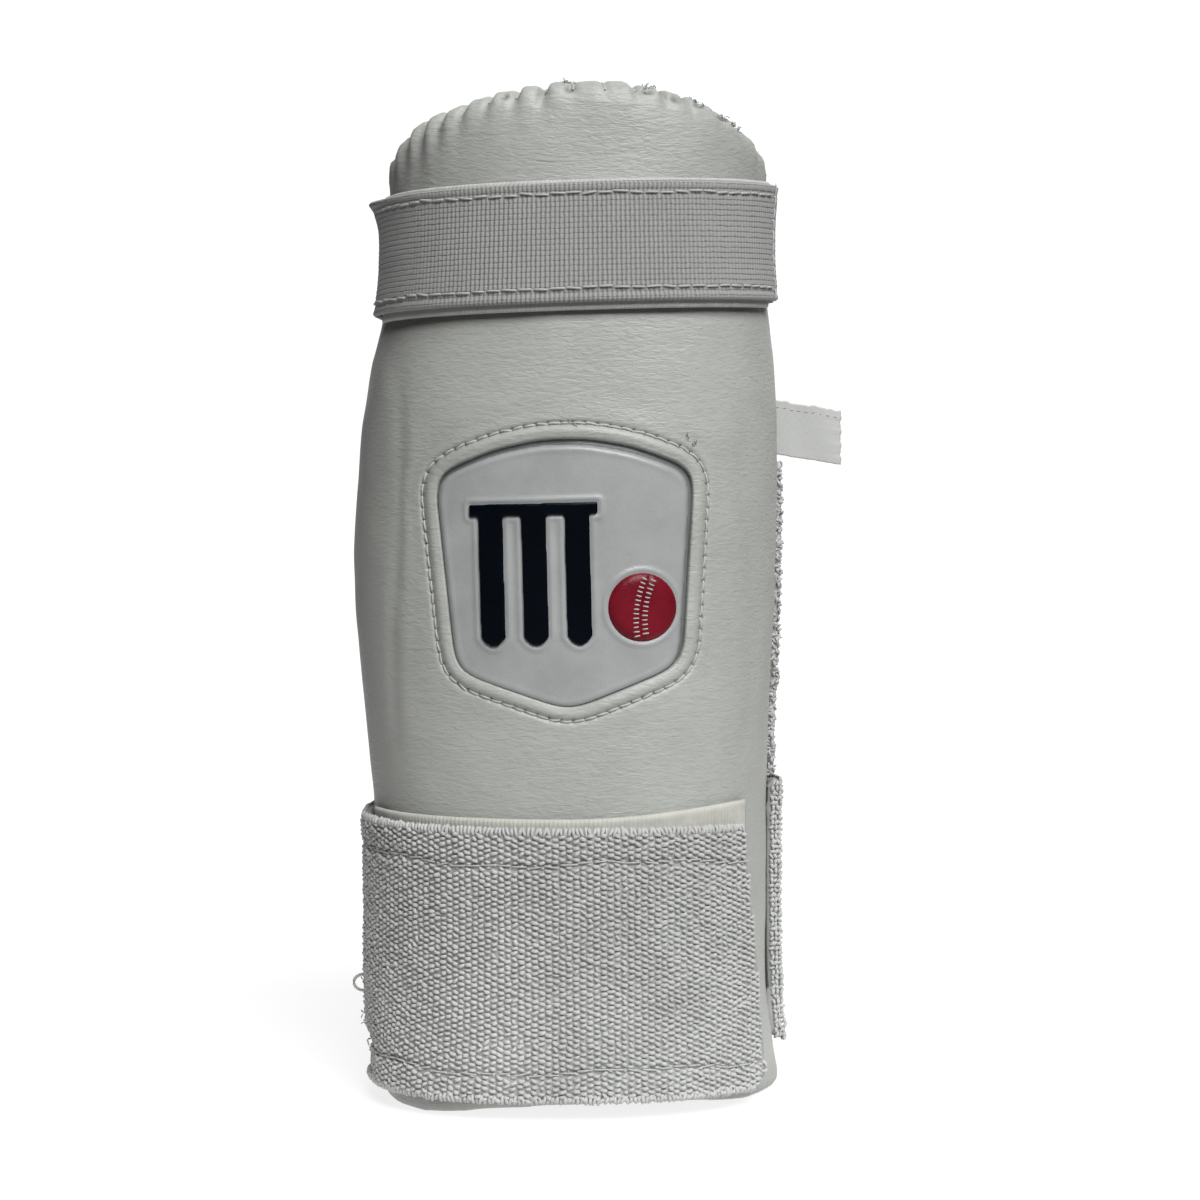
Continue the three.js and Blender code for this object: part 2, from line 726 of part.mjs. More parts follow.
function terryLining() {
  const rows = 13;
  const steps = 18;
  const inset = liningEdge / outerFace(guardHeight / 2).right;
  const cloth = sheet(steps, rows, (i, j) => {
    const across = lerp(-1 + inset, 1 - inset, i / steps);
    const low = hemHeight(across) + turnedHem;
    const high = rimHeight(clamp(across, -0.9, 0.9)) - turnedHem;
    const height = lerp(low, high, j / rows);
    return [
      liningPoint(across, height, seatGap),
      liningPoint(across, height, seatGap + liningThickness),
    ];
  });
  return toGeometry(toSolid(cloth).add(toSolid(liningLip(inset))));
}

// The lining turned out round the right back edge, between the wrist strap and the label.
function liningLip(inset) {
  const rows = 4;
  const low = wristStrapTop + wristStrapRise + lipGap;
  const high = labelRise - labelHeight / 2 - labelGap;
  const outside = edgeShares.slice(1, -1).reverse().map((share) => 2 - share);
  const stops = [1 - 2 * inset, 1 - inset, ...edgeShares.slice(1), ...outside];
  stops.push(1 + lipReach / outerFace(guardHeight / 2).right);
  return sheet(stops.length - 1, rows, (i, j) => {
    const height = lerp(low, high, j / rows);
    return [
      liningPoint(stops[i], height, seatGap + lipSink),
      liningPoint(stops[i], height, seatGap + lerp(liningThickness - lipSink, lipTopThickness, j / rows)),
    ];
  });
}

// The label hangs from the seam behind the right back edge.
function sizeLabel() {
  const columns = 6;
  const tip = padPoint(1, labelRise, wallDepths(1, labelRise).outer);
  const droop = Math.tan(degToRad(labelDroop));
  const face = tip.y + seatGap;
  return sheet(columns, 1, (i, j) => {
    const along = (labelWidth * i) / columns;
    const out = Math.max(0, along - labelInside);
    const x = tip.x - labelInside + along;
    const curl = 0.006 * out * out;
    const height = labelRise + (j - 0.5) * labelHeight - droop * out;
    return [
      new THREE.Vector3(x, face + curl, height),
      new THREE.Vector3(x, face + curl + labelThickness, height),
    ];
  });
}

function finish(color, roughness) {
  return new THREE.MeshStandardMaterial({ color, roughness, metalness: 0 });
}

const leather = finish(0xb4b7b1, 0.5);
const towelling = finish(0xbfc2bd, 0.95);
const elastic = finish(0xa9aca8, 0.85);
const hookTape = finish(0xa3a599, 0.9);
const whiteVinyl = finish(0xc3c8cb, 0.35);
const blackVinyl = finish(0x10151c, 0.3);
const redVinyl = finish(0x9c1f2c, 0.35);
const satinLabel = finish(0xc4c8c0, 0.6);

const pieces = {
  padded_shell: [paddedShell(), leather],
  terry_lining: [terryLining(), towelling],
  elbow_tape: [elbowTape(), hookTape],
  elbow_strap: [elbowStrap(), elastic],
  wrist_tape: [wristTape(), hookTape],
  wrist_strap: [wristStrap(), towelling],
  badge_plate: [badgePlate(), whiteVinyl],
  badge_wicket: [badgeWicket(), blackVinyl],
  badge_ball: [badgeBall(), redVinyl],
  size_label: [sizeLabel(), satinLabel],
};

const guard = new THREE.Group();
for (const [name, [geometry, material]] of Object.entries(pieces)) {
  const mesh = new THREE.Mesh(geometry, material);
  mesh.name = name;
  guard.add(mesh);
}

// The origin is the middle of the footprint, on the ground.
const box = new THREE.Box3().setFromObject(guard, true);
const middle = box.getCenter(new THREE.Vector3());
guard.position.set(-middle.x, -middle.y, -box.min.z);

export default guard;
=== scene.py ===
# Cricket arm guard: a padded leather shell with two elastic straps, a moulded badge and a size label.
import math

import bmesh
import bpy
import numpy as np
from mathutils import Matrix, Vector, noise
from mathutils.bvhtree import BVHTree
from mathutils.geometry import convex_hull_2d
from mathutils.kdtree import KDTree


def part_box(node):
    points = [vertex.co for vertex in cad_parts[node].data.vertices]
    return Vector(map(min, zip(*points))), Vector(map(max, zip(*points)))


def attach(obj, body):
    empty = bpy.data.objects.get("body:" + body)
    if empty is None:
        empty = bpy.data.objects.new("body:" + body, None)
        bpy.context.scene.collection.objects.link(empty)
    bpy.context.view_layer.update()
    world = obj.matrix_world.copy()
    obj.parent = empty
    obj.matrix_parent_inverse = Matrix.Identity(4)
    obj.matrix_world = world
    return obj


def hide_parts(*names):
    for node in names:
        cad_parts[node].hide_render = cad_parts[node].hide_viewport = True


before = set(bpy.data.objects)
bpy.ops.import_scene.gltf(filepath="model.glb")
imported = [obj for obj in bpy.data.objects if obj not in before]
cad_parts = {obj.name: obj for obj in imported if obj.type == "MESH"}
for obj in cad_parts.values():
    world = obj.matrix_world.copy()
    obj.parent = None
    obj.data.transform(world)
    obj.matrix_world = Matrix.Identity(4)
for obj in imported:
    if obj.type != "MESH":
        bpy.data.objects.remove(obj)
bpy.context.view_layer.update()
mm = 0.001
rng = np.random.default_rng(7)
print("frame loaded with", len(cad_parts), "nodes")

# Camera
camera = {
    "place": (0.1 * mm, -739.4 * mm, 171.4 * mm),
    "tiltDown": 3.06,  # degrees
    "lens": 84.15,
    "sensor": 36,
}
lensData = bpy.data.cameras.new("camera")
lensData.lens = camera["lens"]
lensData.sensor_width = camera["sensor"]
cameraObject = bpy.data.objects.new("camera", lensData)
cameraObject.location = camera["place"]
cameraObject.rotation_euler = (math.radians(90 - camera["tiltDown"]), 0, 0)
bpy.context.scene.collection.objects.link(cameraObject)
bpy.context.scene.camera = cameraObject
print("camera set")

# Floor and light
studio = {
    "floorHalf": 40.0,
    "floorTone": 0.25,
    "floorGlow": 0.8,  # keeps the far floor as white as the wall
    "paperFront": -115 * mm,  # the white paper ends just outside the picture
    "paperSide": 164 * mm,
    "paperSpread": 0.2136,  # its sides run out along the picture's edges
    "paperFade": 45 * mm,
    "wallTone": 1.06,
    "roomTone": 0.14,  # the darker room in front of the guard
    "leftTone": 0.0,
    "rightTone": 0.0,
    "sunPower": 3.9,
    "sunSpread": 38,  # degrees across
    "sunFrom": (0.44, -1.0, 1.08),
}


def fade(nodes, links, slopes):
    # The product of straight slopes, each with its source, its start and end, and its values there.
    tone = None
    for source, start, end, low, high in slopes:
        slope = nodes.new("ShaderNodeMapRange")
        for name, value in (("From Min", start), ("From Max", end), ("To Min", low), ("To Max", high)):
            slope.inputs[name].default_value = value
        links.new(source, slope.inputs["Value"])
        product = nodes.new("ShaderNodeMath")
        product.operation = "MULTIPLY"
        links.new(slope.outputs["Result"], product.inputs[0])
        product.inputs[1].default_value = 1
        if tone:
            links.new(tone, product.inputs[1])
        tone = product.outputs["Value"]
    return tone


def coordinates(nodes, links, source):
    where = nodes.new("ShaderNodeTexCoord")
    parts = nodes.new("ShaderNodeSeparateXYZ")
    links.new(where.outputs[source], parts.inputs["Vector"])
    return parts.outputs


def setStudio():
    scene = bpy.context.scene
    scene.view_settings.view_transform = "Standard"
    scene.world = bpy.data.worlds.new("studio")
    scene.world.use_nodes = True
    nodes, links = scene.world.node_tree.nodes, scene.world.node_tree.links
    way = coordinates(nodes, links, "Generated")
    slopes = (
        (way["Y"], -1, 0.85, studio["roomTone"], studio["wallTone"]),
        (way["X"], -0.55, -0.24, studio["leftTone"], 1),
        (way["X"], 0.3, 0.9, 1, studio["rightTone"]),
    )
    links.new(fade(nodes, links, slopes), nodes["Background"].inputs["Strength"])
    nodes["Background"].inputs["Color"].default_value = (1, 1, 1, 1)
    sun = bpy.data.lights.new("sun", "SUN")
    sun.energy = studio["sunPower"]
    sun.angle = math.radians(studio["sunSpread"])
    sunObject = bpy.data.objects.new("sun", sun)
    sunObject.rotation_euler = Vector(studio["sunFrom"]).to_track_quat("Z", "Y").to_euler()
    scene.collection.objects.link(sunObject)
    ground = bmesh.new()
    bmesh.ops.create_grid(ground, x_segments=2, y_segments=2, size=studio["floorHalf"])
    floorMesh = bpy.data.meshes.new("floor")
    ground.to_mesh(floorMesh)
    floor = bpy.data.objects.new("floor", floorMesh)
    scene.collection.objects.link(floor)
    pale = bpy.data.materials.new("paleFloor")
    pale.use_nodes = True
    shader = pale.node_tree.nodes["Principled BSDF"]
    shader.inputs["Base Color"].default_value = (*[studio["floorTone"]] * 3, 1)
    shader.inputs["Roughness"].default_value = 1
    shader.inputs["Specular IOR Level"].default_value = 0
    shader.inputs["Emission Color"].default_value = (1, 1, 1, 1)
    nodes, links = pale.node_tree.nodes, pale.node_tree.links
    place = coordinates(nodes, links, "Object")
    aside = nodes.new("ShaderNodeMath")
    aside.operation = "ABSOLUTE"
    links.new(place["X"], aside.inputs[0])
    sideways = nodes.new("ShaderNodeMath")
    sideways.operation = "MULTIPLY_ADD"
    links.new(place["Y"], sideways.inputs[0])
    sideways.inputs[1].default_value = -studio["paperSpread"]
    links.new(aside.outputs["Value"], sideways.inputs[2])
    front, side, soft = studio["paperFront"], studio["paperSide"], studio["paperFade"]
    slopes = (
        (place["Y"], front - soft, front, 0, studio["floorGlow"]),
        (sideways.outputs["Value"], side, side + soft, 1, 0),
    )
    links.new(fade(nodes, links, slopes), shader.inputs["Emission Strength"])
    floorMesh.materials.append(pale)


setStudio()
print("studio lit")


# Materials
class Finish:
    # A material's node tree, with short ways to add its nodes.
    def __init__(self, name, colour, roughness):
        self.material = bpy.data.materials.new(name)
        self.material.use_nodes = True
        self.tree = self.material.node_tree
        self.shader = self.tree.nodes["Principled BSDF"]
        self.shader.inputs["Base Color"].default_value = (*colour, 1)
        self.shader.inputs["Roughness"].default_value = roughness

    def add(self, kind, **settings):
        node = self.tree.nodes.new("ShaderNode" + kind)
        for key, value in settings.items():
            setattr(node, key, value)
        return node

    def join(self, fromSocket, toSocket):
        self.tree.links.new(fromSocket, toSocket)

    def place(self, source, scale):
        where = self.add("TexCoord")
        mapping = self.add("Mapping")
        mapping.inputs["Scale"].default_value = scale
        self.join(where.outputs[source], mapping.inputs["Vector"])
        return mapping.outputs["Vector"]

    def noise(self, where, scale, detail=3.0, rough=0.55, distortion=0.0):
        node = self.add("TexNoise")
        node.inputs["Scale"].default_value = scale
        node.inputs["Detail"].default_value = detail
        node.inputs["Roughness"].default_value = rough
        node.inputs["Distortion"].default_value = distortion
        self.join(where, node.inputs["Vector"])
        return node.outputs["Fac"]

    def cells(self, where, scale, feature="F1"):
        node = self.add("TexVoronoi", feature=feature)
        node.inputs["Scale"].default_value = scale
        self.join(where, node.inputs["Vector"])
        return node.outputs["Distance"]

    def ramp(self, value, stops):
        node = self.add("ValToRGB")
        band = node.color_ramp
        while len(band.elements) < len(stops):
            band.elements.new(0.5)
        for element, (at, colour) in zip(band.elements, stops):
            element.position = at
            element.color = (*colour, 1)
        self.join(value, node.inputs["Fac"])
        return node.outputs["Color"]

    def math(self, operation, first, second):
        node = self.add("Math", operation=operation)
        for socket, value in zip(node.inputs, (first, second)):
            if isinstance(value, (int, float)):
                socket.default_value = value
            else:
                self.join(value, socket)
        return node.outputs["Value"]

    def mix(self, factor, first, second, blend="MIX"):
        node = self.add("Mix", data_type="RGBA", blend_type=blend)
        for name, value in (("Factor", factor), ("A", first), ("B", second)):
            socket = next(s for s in node.inputs if s.name == name and s.enabled)
            if isinstance(value, (int, float)):
                socket.default_value = value
            elif isinstance(value, tuple):
                socket.default_value = (*value, 1)
            else:
                self.join(value, socket)
        return next(s for s in node.outputs if s.enabled)

    def gaps(self, where, side, pitch, sharpness):
        # Near 1 in the gaps that repeat along one side of the cloth, and 0 between them.
        parts = self.add("SeparateXYZ")
        self.join(where, parts.inputs["Vector"])
        turn = self.math("MULTIPLY", parts.outputs[side], 2 * math.pi / pitch)
        swing = self.math("COSINE", turn, 0)
        half = self.math("ADD", self.math("MULTIPLY", swing, 0.5), 0.5)
        return self.math("POWER", half, sharpness)

    def slope(self, value, start, end, low, high):
        node = self.add("MapRange", interpolation_type="SMOOTHSTEP")
        for name, number in (("From Min", start), ("From Max", end), ("To Min", low), ("To Max", high)):
            node.inputs[name].default_value = number
        self.join(value, node.inputs["Value"])
        return node.outputs["Result"]

    def loosened(self, where, scale, amount):
        # Shifts a pattern's places a little, as in hand-pulled cloth.
        wander = self.add("TexNoise")
        wander.inputs["Scale"].default_value = scale
        wander.inputs["Detail"].default_value = 2
        self.join(where, wander.inputs["Vector"])
        pull = self.add("VectorMath", operation="MULTIPLY_ADD")
        self.join(wander.outputs["Color"], pull.inputs[0])
        pull.inputs[1].default_value = (amount, amount, 0)
        self.join(where, pull.inputs[2])
        return pull.outputs["Vector"]

    def attribute(self, name):
        return self.add("Attribute", attribute_name=name).outputs["Fac"]

    def colour(self, socket):
        self.join(socket, self.shader.inputs["Base Color"])

    def roughness(self, value, low, high):
        node = self.add("MapRange")
        node.inputs["To Min"].default_value = low
        node.inputs["To Max"].default_value = high
        self.join(value, node.inputs["Value"])
        self.join(node.outputs["Result"], self.shader.inputs["Roughness"])

    def bump(self, layers):
        last = None
        for height, strength, distance in layers:
            node = self.add("Bump")
            node.inputs["Strength"].default_value = strength
            node.inputs["Distance"].default_value = distance
            self.join(height, node.inputs["Height"])
            if last:
                self.join(last, node.inputs["Normal"])
            last = node.outputs["Normal"]
        self.join(last, self.shader.inputs["Normal"])


def whiteLeather():
    finish = Finish("whiteLeather", (0.37, 0.38, 0.356), 0.5)
    drawn = finish.place("Object", (1, 1, 3.2))
    plain = finish.place("Object", (1, 1, 1))
    grain = finish.noise(drawn, 390, 3, 0.45, 0.7)
    pebble = finish.cells(drawn, 900)
    wrinkle = finish.noise(drawn, 150, 3, 0.5, 1.2)
    cloud = finish.noise(plain, 30, 3, 0.6)
    dark, mid, light = (0.345, 0.354, 0.33), (0.37, 0.38, 0.355), (0.39, 0.399, 0.376)
    tone = finish.ramp(cloud, [(0.3, dark), (0.5, mid), (0.7, light)])
    smudge = finish.ramp(finish.noise(plain, 95, 5, 0.7), [(0.0, (0.8, 0.8, 0.76)), (0.36, (1, 1, 1))])
    hollows = finish.ramp(grain, [(0.35, (0.9, 0.9, 0.9)), (0.55, (1, 1, 1))])
    worn = finish.mix(0.35, tone, smudge, "MULTIPLY")
    worn = finish.mix(0.6, worn, hollows, "MULTIPLY")
    # Painted shade: the leather darkens towards near-black by the shade attribute that its mesh carries.
    paintedShade = finish.math("MINIMUM", finish.attribute("paintedShade"), 1)
    finish.colour(finish.mix(paintedShade, worn, (0.1, 0.105, 0.1)))
    finish.roughness(grain, 0.36, 0.55)
    finish.shader.inputs["Specular IOR Level"].default_value = 0.5
    finish.bump([(wrinkle, 0.35, 0.5 * mm), (grain, 0.8, 0.27 * mm), (pebble, 0.25, 0.1 * mm)])
    return finish.material


def wovenElastic():
    finish = Finish("wovenElastic", (0.36, 0.362, 0.355), 0.8)
    cloth = finish.place("UV", (1, 1, 1))
    pulled = finish.loosened(cloth, 0.6, 0.5)
    ribGap = finish.gaps(pulled, "X", 1.2, 2.0)
    rowGap = finish.gaps(pulled, "Y", 1.35, 5.0)
    parts = finish.add("SeparateXYZ")
    finish.join(cloth, parts.inputs["Vector"])
    aside = finish.math("ABSOLUTE", finish.math("ADD", parts.outputs["X"], -2), 0)
    ribGap = finish.math("MULTIPLY", ribGap, finish.slope(aside, 18, 48, 0.8, 0.25))
    rowGap = finish.math("MULTIPLY", rowGap, finish.slope(aside, 18, 48, 0.6, 1.0))
    thread = finish.noise(finish.place("UV", (0.9, 5, 1)), 2.6, 3, 0.6)
    broken = finish.slope(finish.noise(cloth, 1.1, 2, 0.5), 0.3, 0.7, 0.4, 1.0)
    gap = finish.math("ADD", ribGap, finish.math("MULTIPLY", rowGap, broken))
    tone = finish.ramp(thread, [(0.3, (0.295, 0.296, 0.29)), (0.7, (0.37, 0.372, 0.366))])
    cloud = finish.ramp(finish.noise(cloth, 0.1, 3, 0.6), [(0.3, (0.87, 0.87, 0.86)), (0.7, (1, 1, 1))])
    worn = finish.mix(0.5, tone, cloud, "MULTIPLY")
    # Painted shade: the gaps between the ribs and rows, which also dip in the bump, are darkened towards
    # near-black.
    finish.colour(finish.mix(finish.math("MULTIPLY", gap, 0.6), worn, (0.07, 0.072, 0.07)))
    finish.roughness(thread, 0.7, 0.9)
    finish.shader.inputs["Sheen Weight"].default_value = 0.1
    finish.bump([(finish.math("SUBTRACT", 1, gap), 0.7, 0.28 * mm), (thread, 0.4, 0.08 * mm)])
    return finish.material


def loopElastic(name, low, high):
    finish = Finish(name, high, 0.82)
    cloth = finish.place("Object", (1, 1, 1))
    strand = finish.noise(cloth, 2600, 2, 0.6)
    cloud = finish.noise(cloth, 55, 3, 0.6)
    tone = finish.ramp(cloud, [(0.3, low), (0.7, high)])
    fine = finish.ramp(strand, [(0.3, (0.78, 0.78, 0.78)), (0.65, (1, 1, 1))])
    finish.colour(finish.mix(0.5, tone, fine, "MULTIPLY"))
    finish.roughness(strand, 0.6, 0.85)
    finish.shader.inputs["Sheen Weight"].default_value = 0.1
    finish.bump([(strand, 0.5, 0.12 * mm)])
    return finish.material


def hookTape(name, low, high):
    finish = Finish(name, high, 0.7)
    cloth = finish.place("UV", (1, 1, 1))
    ribs = finish.add("TexWave", wave_type="BANDS", bands_direction="X")
    ribs.inputs["Scale"].default_value = 0.28
    ribs.inputs["Distortion"].default_value = 0.4
    finish.join(cloth, ribs.inputs["Vector"])
    cloud = finish.noise(cloth, 0.3, 3, 0.6)
    finish.colour(finish.ramp(cloud, [(0.3, low), (0.7, high)]))
    finish.roughness(cloud, 0.6, 0.8)
    finish.bump([(ribs.outputs["Fac"], 0.6, 0.12 * mm)])
    return finish.material


def mouldedVinyl(name, dark, light, low, high, shine):
    finish = Finish(name, light, low)
    plain = finish.place("Object", (1, 1, 1))
    grain = finish.noise(plain, 1300, 3, 0.6)
    cloud = finish.noise(plain, 90, 4, 0.65)
    plainTone = finish.ramp(cloud, [(0.35, dark), (0.65, light)])
    # Painted shade: the vinyl darkens by the shade attribute that its mesh carries, where one is set.
    finish.colour(finish.mix(finish.attribute("paintedShade"), plainTone, tuple(0.4 * value for value in dark)))
    finish.roughness(grain, low, high)
    finish.shader.inputs["Specular IOR Level"].default_value = shine
    finish.bump([(grain, 0.7, 0.12 * mm), (cloud, 0.15, 0.3 * mm)])
    return finish.material


def sewingThread():
    finish = Finish("sewingThread", (0.42, 0.43, 0.405), 0.6)
    plain = finish.place("Object", (1, 1, 1))
    twist = finish.noise(plain, 3200, 2, 0.5)
    finish.colour(finish.ramp(twist, [(0.3, (0.33, 0.338, 0.318)), (0.7, (0.47, 0.478, 0.455))]))
    finish.roughness(twist, 0.5, 0.75)
    finish.shader.inputs["Sheen Weight"].default_value = 0.1
    finish.bump([(twist, 0.5, 0.06 * mm)])
    return finish.material


def satinRibbon():
    finish = Finish("satinRibbon", (0.44, 0.45, 0.435), 0.45)
    threads = finish.noise(finish.place("UV", (1 / 0.35, 1 / 2.4, 1)), 2.2, 3, 0.6)
    finish.colour(finish.ramp(threads, [(0.3, (0.41, 0.417, 0.402)), (0.7, (0.49, 0.497, 0.482))]))
    finish.roughness(threads, 0.38, 0.56)
    finish.bump([(threads, 0.3, 0.05 * mm)])
    return finish.material


leatherFinish = whiteLeather()
elasticFinish = wovenElastic()
loopFinish = loopElastic("loopElastic", (0.42, 0.427, 0.413), (0.51, 0.517, 0.503))
# A darker copy of the loop elastic for the strap's ground between its loops: painted shade between the
# loops.
shadedGroundFinish = loopElastic("shadedLoopGround", (0.3, 0.305, 0.295), (0.36, 0.365, 0.353))
towelFinish = loopElastic("looseTowelling", (0.4, 0.406, 0.392), (0.49, 0.496, 0.482))
tapeFinish = hookTape("hookTape", (0.42, 0.42, 0.382), (0.49, 0.49, 0.452))
# A slightly darker, greyer copy of the hook tape for the elbow tape: its darkness is painted shade under
# the elbow strap.
shadedTapeFinish = hookTape("shadedHookTape", (0.4, 0.403, 0.385), (0.48, 0.483, 0.465))
threadFinish = sewingThread()
panelFinish = mouldedVinyl("whiteVinyl", (0.29, 0.3, 0.298), (0.33, 0.34, 0.34), 0.3, 0.44, 0.5)
blackFinish = mouldedVinyl("blackVinyl", (0.0006, 0.0015, 0.0032), (0.001, 0.0025, 0.005), 0.14, 0.3, 0.1)
redFinish = mouldedVinyl("redVinyl", (0.11, 0.004, 0.01), (0.165, 0.007, 0.016), 0.2, 0.36, 0.16)
labelFinish = satinRibbon()
print("finishes made")


# Shapes read from the CAD frame
guardAxis = Vector((-7.5 * mm, 12 * mm))
rayReach = 120 * mm


def cadCopy(node):
    copied = bmesh.new()
    copied.from_mesh(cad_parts[node].data)
    bmesh.ops.remove_doubles(copied, verts=copied.verts, dist=0.01 * mm)
    copied.normal_update()
    return copied


def outwards(angle):
    # Angle 0 looks to the front, and 90 to the right side.
    return Vector((math.sin(math.radians(angle)), -math.cos(math.radians(angle)), 0))


def lookIn(tree, angle, height):
    # How far from the axis a shape's outer face lies.
    way = outwards(angle)
    start = Vector((*guardAxis, height)) + way * rayReach
    distance = tree.ray_cast(start, -way, rayReach)[3]
    return None if distance is None else rayReach - distance


def angleOf(points):
    return np.degrees(np.arctan2(points[:, 0] - guardAxis.x, guardAxis.y - points[:, 1]))


def filled(values):
    # A row of readings with its gaps closed from their neighbours.
    known = np.array([v is not None for v in values])
    numbers = np.array([v if v is not None else 0 for v in values], float)
    places = np.arange(len(values))
    return np.interp(places, places[known], numbers[known])


def blurred(table, spread):
    # Smooths a table along its first side.
    reach = int(3 * spread) + 1
    weights = np.exp(-0.5 * (np.arange(-reach, reach + 1) / spread) ** 2)
    padded = np.pad(table, ((reach, reach), (0, 0)), mode="edge")
    weights /= weights.sum()
    return np.stack([np.convolve(column, weights, "valid") for column in padded.T], axis=1)


def runRound(angles, reach):
    # The distance round the guard from the middle of its front.
    turn = np.radians(angles)
    line = np.stack([reach * np.sin(turn), -reach * np.cos(turn)], axis=1)
    run = np.concatenate([[0], np.cumsum(np.linalg.norm(np.diff(line, axis=0), axis=1))])
    return run - np.interp(0, angles, run)


def readBand(node, cut, spread=3.0):
    # The outer face of a CAD band, by the angle round the guard and the share of the band's width.
    copied = cadCopy(node)
    tree = BVHTree.FromBMesh(copied)

    def edge(faces):
        found = np.array([v.co[:] for f in faces for v in f.verts])
        turns = angleOf(found)
        turns = np.where(turns > cut, turns - 360, turns)
        order = np.argsort(turns)
        return turns[order], found[order, 2]

    lowTurns, low = edge([f for f in copied.faces if f.normal.z < -0.7])
    highTurns, high = edge([f for f in copied.faces if f.normal.z > 0.7])
    start = max(lowTurns[0], highTurns[0])
    end = min(lowTurns[-1], highTurns[-1])
    angles = np.linspace(start, end, int((end - start) / 0.75))
    shares = np.linspace(0.03, 0.97, 9)
    lowEdge = np.interp(angles, lowTurns, low)
    highEdge = np.interp(angles, highTurns, high)
    columns = []
    for share in shares:
        heights = lowEdge + share * (highEdge - lowEdge)
        columns.append(filled([lookIn(tree, a, h) for a, h in zip(angles, heights)]))
    reach = blurred(np.array(columns).T, spread)
    middle = len(shares) // 2
    run = runRound(angles, reach[:, middle])
    print(node, "angles", round(start), round(end), "run", (run[[0, -1]] / mm).round(1))
    return {
        "angles": angles,
        "run": run,
        "low": lowEdge,
        "high": highEdge,
        "reach": reach,
        "shares": shares,
    }


def between(table, across, up):
    # The value of a table between its places.
    i = np.clip(across.astype(int), 0, table.shape[0] - 2)
    j = np.clip(up.astype(int), 0, table.shape[1] - 2)
    u, v = across - i, up - j
    value = (1 - u) * (1 - v) * table[i, j] + u * (1 - v) * table[i + 1, j]
    return value + (1 - u) * v * table[i, j + 1] + u * v * table[i + 1, j + 1]


def onBand(band, run, share, lift=0.0):
    # Places on a band, for a distance round from the middle of its front and a share of its width.
    angle = np.interp(run, band["run"], band["angles"])
    across = np.interp(run, band["run"], np.arange(len(band["run"])))
    shares = band["shares"]
    up = (np.clip(share, shares[0], shares[-1]) - shares[0]) / (shares[1] - shares[0])
    reach = between(band["reach"], across, up) + lift
    low = np.interp(run, band["run"], band["low"])
    high = np.interp(run, band["run"], band["high"])
    turn = np.radians(angle)
    x, y = guardAxis.x + reach * np.sin(turn), guardAxis.y - reach * np.cos(turn)
    return np.stack([x, y, low + share * (high - low)], axis=1)


def bandWidth(band, run):
    return np.interp(run, band["run"], band["high"] - band["low"])


def bandFrames(band, run, share):
    # Places on a band with the ways along it, up it and out of it.
    step = 0.4 * mm
    here = onBand(band, run, share)
    along = onBand(band, run + step, share) - onBand(band, run - step, share)
    up = onBand(band, run, np.minimum(share + 0.02, 1.0)) - onBand(band, run, np.maximum(share - 0.02, 0.0))
    along, up = unit(along), unit(up)
    return here, along, up, unit(np.cross(along, up))


def unit(ways):
    return ways / np.linalg.norm(ways, axis=1)[:, None]


def leaned(first, second, out, turn):
    # The ways of small shapes that stand along out and lean from the first way to the second.
    turn = np.asarray(turn)[:, None]
    way = first * np.cos(turn) + second * np.sin(turn)
    return np.stack([way, np.cross(out, way), out], axis=1)


def meshPoints(mesh):
    points = np.empty(len(mesh.vertices) * 3, np.float32)
    mesh.vertices.foreach_get("co", points)
    return points.reshape(-1, 3).astype(float)


def meshNormals(mesh):
    normals = np.empty(len(mesh.vertices) * 3, np.float32)
    mesh.vertex_normals.foreach_get("vector", normals)
    return normals.reshape(-1, 3).astype(float)


def setPoints(mesh, points):
    mesh.vertices.foreach_set("co", points.astype(np.float32).ravel())
    mesh.update()


def addPaintedShade(mesh, paintedShade):
    # The painted shade at each place, how dark it is, for the finishes to read.
    mesh.attributes.new("paintedShade", "FLOAT", "POINT").data.foreach_set("value", paintedShade.astype(np.float32))


def meshOf(shape, name):
    mesh = bpy.data.meshes.new(name)
    shape.to_mesh(mesh)
    return mesh


def addPiece(name, mesh, finish, replaces=()):
    piece = bpy.data.objects.new(name, mesh)
    bpy.context.scene.collection.objects.link(piece)
    mesh.materials.clear()
    mesh.materials.append(finish)
    mesh.shade_smooth()
    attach(piece, "root")
    if replaces:
        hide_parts(*replaces)
    return piece


def ease(shape, verts, rounds):
    axes = {"use_axis_x": True, "use_axis_y": True, "use_axis_z": True}
    for _ in range(rounds):
        bmesh.ops.smooth_vert(shape, verts=verts, factor=0.5, **axes)


def softRemesh(shape, voxel, smooths):
    # A closed shape with even faces, made soft at its edges.
    rough = bpy.data.meshes.new("rough")
    shape.to_mesh(rough)
    holder = bpy.data.objects.new("rough", rough)
    bpy.context.scene.collection.objects.link(holder)
    remesh = holder.modifiers.new("remesh", "REMESH")
    remesh.mode = "VOXEL"
    remesh.voxel_size = voxel
    even = bpy.data.meshes.new_from_object(holder.evaluated_get(bpy.context.evaluated_depsgraph_get()))
    bpy.data.objects.remove(holder)
    bpy.data.meshes.remove(rough)
    result = bmesh.new()
    result.from_mesh(even)
    bpy.data.meshes.remove(even)
    ease(result, result.verts, smooths)
    return result


